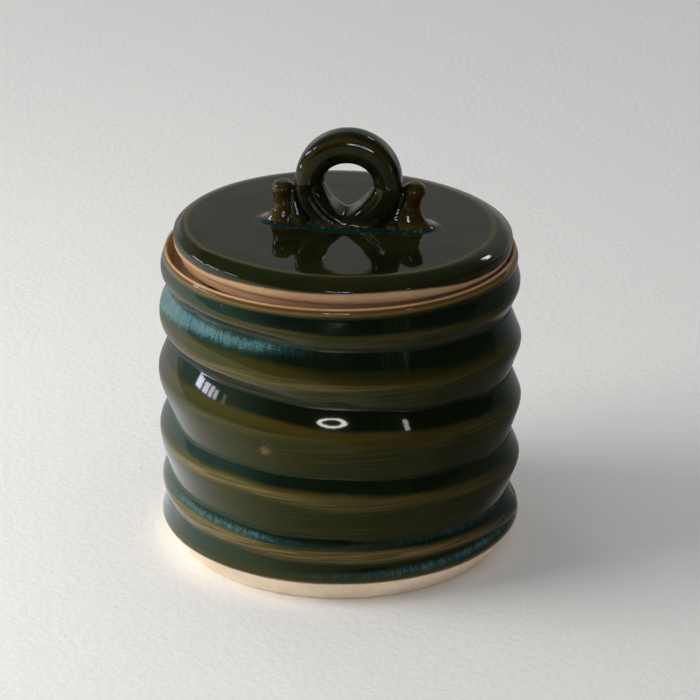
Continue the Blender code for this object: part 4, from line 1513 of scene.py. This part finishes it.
def build_cards(studio):
    """Dark cards round the camera's side and a glow over the paper, for the glaze to mirror as painted
    reflections.
    """
    begin()
    bpy.ops.mesh.primitive_cylinder_add(
        vertices=96, radius=CARD_RADIUS, depth=CARD_HEIGHT, end_fill_type="NOTHING")
    cards = named("dark_cards")
    set_down(cards, Matrix.Translation((0.0, 0.0, CARD_HEIGHT / 2)))
    cards.data.materials.append(card_material(studio))
    begin()
    bpy.ops.mesh.primitive_circle_add(vertices=96, radius=CARD_RADIUS, fill_type="NGON")
    sheet = named("paper_glow")
    set_down(sheet, Matrix.Translation((0.0, 0.0, SHEET_HEIGHT)))
    sheet.data.materials.append(sheet_material())
    for_glaze_only(cards, sheet)


def build_ring_glint():
    """Painted highlight: a glowing ring beside the camera, seen only as a small bright circle in the
    glaze.
    """
    begin()
    major, minor = RING_GLINT_SIZE
    bpy.ops.mesh.primitive_torus_add(
        major_segments=64, minor_segments=12, major_radius=major, minor_radius=minor)
    ring = named("ring_lamp")
    toward = (Vector(RING_GLINT_PLACE) - Vector((0, 0, 0.05))).to_track_quat("Z", "Y")
    squash = Matrix.Diagonal((1.0, RING_GLINT_SQUASH, 1.0, 1.0))
    set_down(ring, Matrix.Translation(RING_GLINT_PLACE) @ toward.to_matrix().to_4x4() @ squash)
    ring.data.materials.append(glow_material("ring_lamp_glow", RING_GLINT_TINT, RING_GLINT_STRENGTH))
    for_glaze_only(ring)


def build_pane(index, row, tint):
    """One glowing window pane, a painted highlight, flat between four directions from the keeper."""
    begin()
    start, stop, low, high, strength = row
    bpy.ops.mesh.primitive_plane_add(size=1.0)
    pane = named("pane_%d" % index)
    move_corners(pane, np.array([
        polar(azimuth, elevation, WINDOW_DISTANCE) for azimuth, elevation in (
            (start, low), (stop, low), (start, high), (stop, high))]))
    pane.data.materials.append(glow_material("pane_glow_%d" % index, tint, strength))
    for_glaze_only(pane)


def build_window():
    """Painted highlights: a window in panes at the left, a narrow one at the right, one that the lid
    mirrors.
    """
    for index, row in enumerate(WINDOW_PANES):
        build_pane(index, row, WINDOW_TINT)
    build_pane(len(WINDOW_PANES), LID_PANE, LID_PANE_TINT)


def build_world(studio):
    """A pale background that dims upwards, and a dimmer one as the light of the room."""
    world = bpy.context.scene.world or bpy.data.worlds.new("studio_world")
    bpy.context.scene.world = world
    finish = Finish(world)
    camera_rays = finish.node("ShaderNodeLightPath", output="Is Camera Ray")
    rays = camera_rays.socket.node.outputs
    shown = camera_rays + Wire(finish, rays["Is Glossy Ray"])
    shown = finish.maths("MINIMUM", shown + Wire(finish, rays["Is Transmission Ray"]), 1.0)
    up = finish.parts(finish.node("ShaderNodeTexCoord", output="Generated"))[2]
    seen = studio.backdrop
    for low, high, share in BACKDROP_DIMMING:
        seen = finish.blend(finish.step(up, low, high), seen, darker(studio.backdrop, share))
    tint = finish.blend(shown, studio.fill, seen)
    shader = finish.node("ShaderNodeBackground", inputs={"Color": tint, "Strength": 1.0})
    finish.node("ShaderNodeOutputWorld", inputs={"Surface": shader})


def build_camera(studio):
    """The camera, aimed at the keeper's middle and shifted as the photo is framed."""
    data = bpy.data.cameras.new("camera")
    camera = bpy.data.objects.new("camera", data)
    bpy.context.scene.collection.objects.link(camera)
    data.sensor_width = 36.0
    data.lens = studio.lens
    data.shift_x = studio.shift
    data.clip_start = 0.01
    aim = Vector((0.0, 0.0, studio.aim_height))
    toward = Vector((0.0, -math.cos(studio.elevation), math.sin(studio.elevation)))
    camera.location = aim + toward * studio.distance
    camera.rotation_euler = (aim - camera.location).to_track_quat("-Z", "Y").to_euler()
    bpy.context.scene.camera = camera


def build_stage(studio):
    """The paper and all that lights the keeper or is mirrored by it."""
    build_floor(studio)
    build_cards(studio)
    build_ring_glint()
    build_world(studio)
    build_window()
    for lamp in LAMPS:
        add_lamp(*lamp, getattr(studio, lamp[0] + "_power"))
    build_camera(studio)
    bpy.context.scene.view_settings.view_transform = "Standard"


class KEEPER_OT_stage(bpy.types.Operator):
    """Set the floor, the cards, the lamps and the camera"""
    bl_idname = "keeper.stage"
    bl_label = "Set the stage"

    def execute(self, context):
        build_stage(context.scene.keeper_studio)
        return {"FINISHED"}


class KEEPER_OT_crock(bpy.types.Operator):
    """Throw and glaze the crock"""
    bl_idname = "keeper.crock"
    bl_label = "Throw the crock"

    def execute(self, context):
        build_crock(context.scene.keeper_sizes, context.scene.keeper_colours)
        return {"FINISHED"}


class KEEPER_OT_lid(bpy.types.Operator):
    """Throw and glaze the lid"""
    bl_idname = "keeper.lid"
    bl_label = "Throw the lid"

    def execute(self, context):
        build_lid(context.scene.keeper_sizes, context.scene.keeper_colours)
        return {"FINISHED"}


class KEEPER_OT_bell(bpy.types.Operator):
    """Throw and glaze the butter bell"""
    bl_idname = "keeper.bell"
    bl_label = "Throw the bell"

    def execute(self, context):
        build_bell(context.scene.keeper_sizes, context.scene.keeper_colours)
        return {"FINISHED"}


class KEEPER_OT_ring(bpy.types.Operator):
    """Bend and glaze the handle's ring"""
    bl_idname = "keeper.ring"
    bl_label = "Bend the ring"

    def execute(self, context):
        build_ring(context.scene.keeper_sizes, context.scene.keeper_colours)
        return {"FINISHED"}


class KEEPER_OT_curls(bpy.types.Operator):
    """Curl and glaze the two ends of the handle's coil"""
    bl_idname = "keeper.curls"
    bl_label = "Curl the ends"

    def execute(self, context):
        sizes, colours = context.scene.keeper_sizes, context.scene.keeper_colours
        build_curl(sizes, colours, "left_curl", LEFT_CURL, LEFT_WEB, "handle_curl_left")
        build_curl(sizes, colours, "right_curl", RIGHT_CURL, RIGHT_WEB, "handle_curl_right")
        return {"FINISHED"}


class KEEPER_PT_panel(bpy.types.Panel):
    """Lists the steps that make the keeper"""
    bl_idname = "KEEPER_PT_panel"
    bl_label = "Butter keeper"
    bl_space_type = "VIEW_3D"
    bl_region_type = "UI"
    bl_category = "Butter keeper"

    def draw(self, context):
        for step in STEPS:
            self.layout.operator(step.bl_idname)
        for group in ("keeper_sizes", "keeper_colours", "keeper_studio"):
            settings = getattr(context.scene, group)
            box = self.layout.box()
            for name in settings.__annotations__:
                box.prop(settings, name)


STEPS = (
    KEEPER_OT_stage, KEEPER_OT_crock, KEEPER_OT_lid, KEEPER_OT_bell, KEEPER_OT_ring, KEEPER_OT_curls)
CLASSES = (KeeperSizes, GlazeColours, StudioSettings) + STEPS + (KEEPER_PT_panel,)


def register():
    for kind in CLASSES:
        bpy.utils.register_class(kind)
    bpy.types.Scene.keeper_sizes = PointerProperty(type=KeeperSizes)
    bpy.types.Scene.keeper_colours = PointerProperty(type=GlazeColours)
    bpy.types.Scene.keeper_studio = PointerProperty(type=StudioSettings)


def unregister():
    del bpy.types.Scene.keeper_studio
    del bpy.types.Scene.keeper_colours
    del bpy.types.Scene.keeper_sizes
    for kind in reversed(CLASSES):
        bpy.utils.unregister_class(kind)


def main():
    register()
    bpy.ops.keeper.stage()
    bpy.ops.keeper.crock()
    bpy.ops.keeper.lid()
    bpy.ops.keeper.bell()
    bpy.ops.keeper.ring()
    bpy.ops.keeper.curls()


if __name__ == "__main__":
    main()
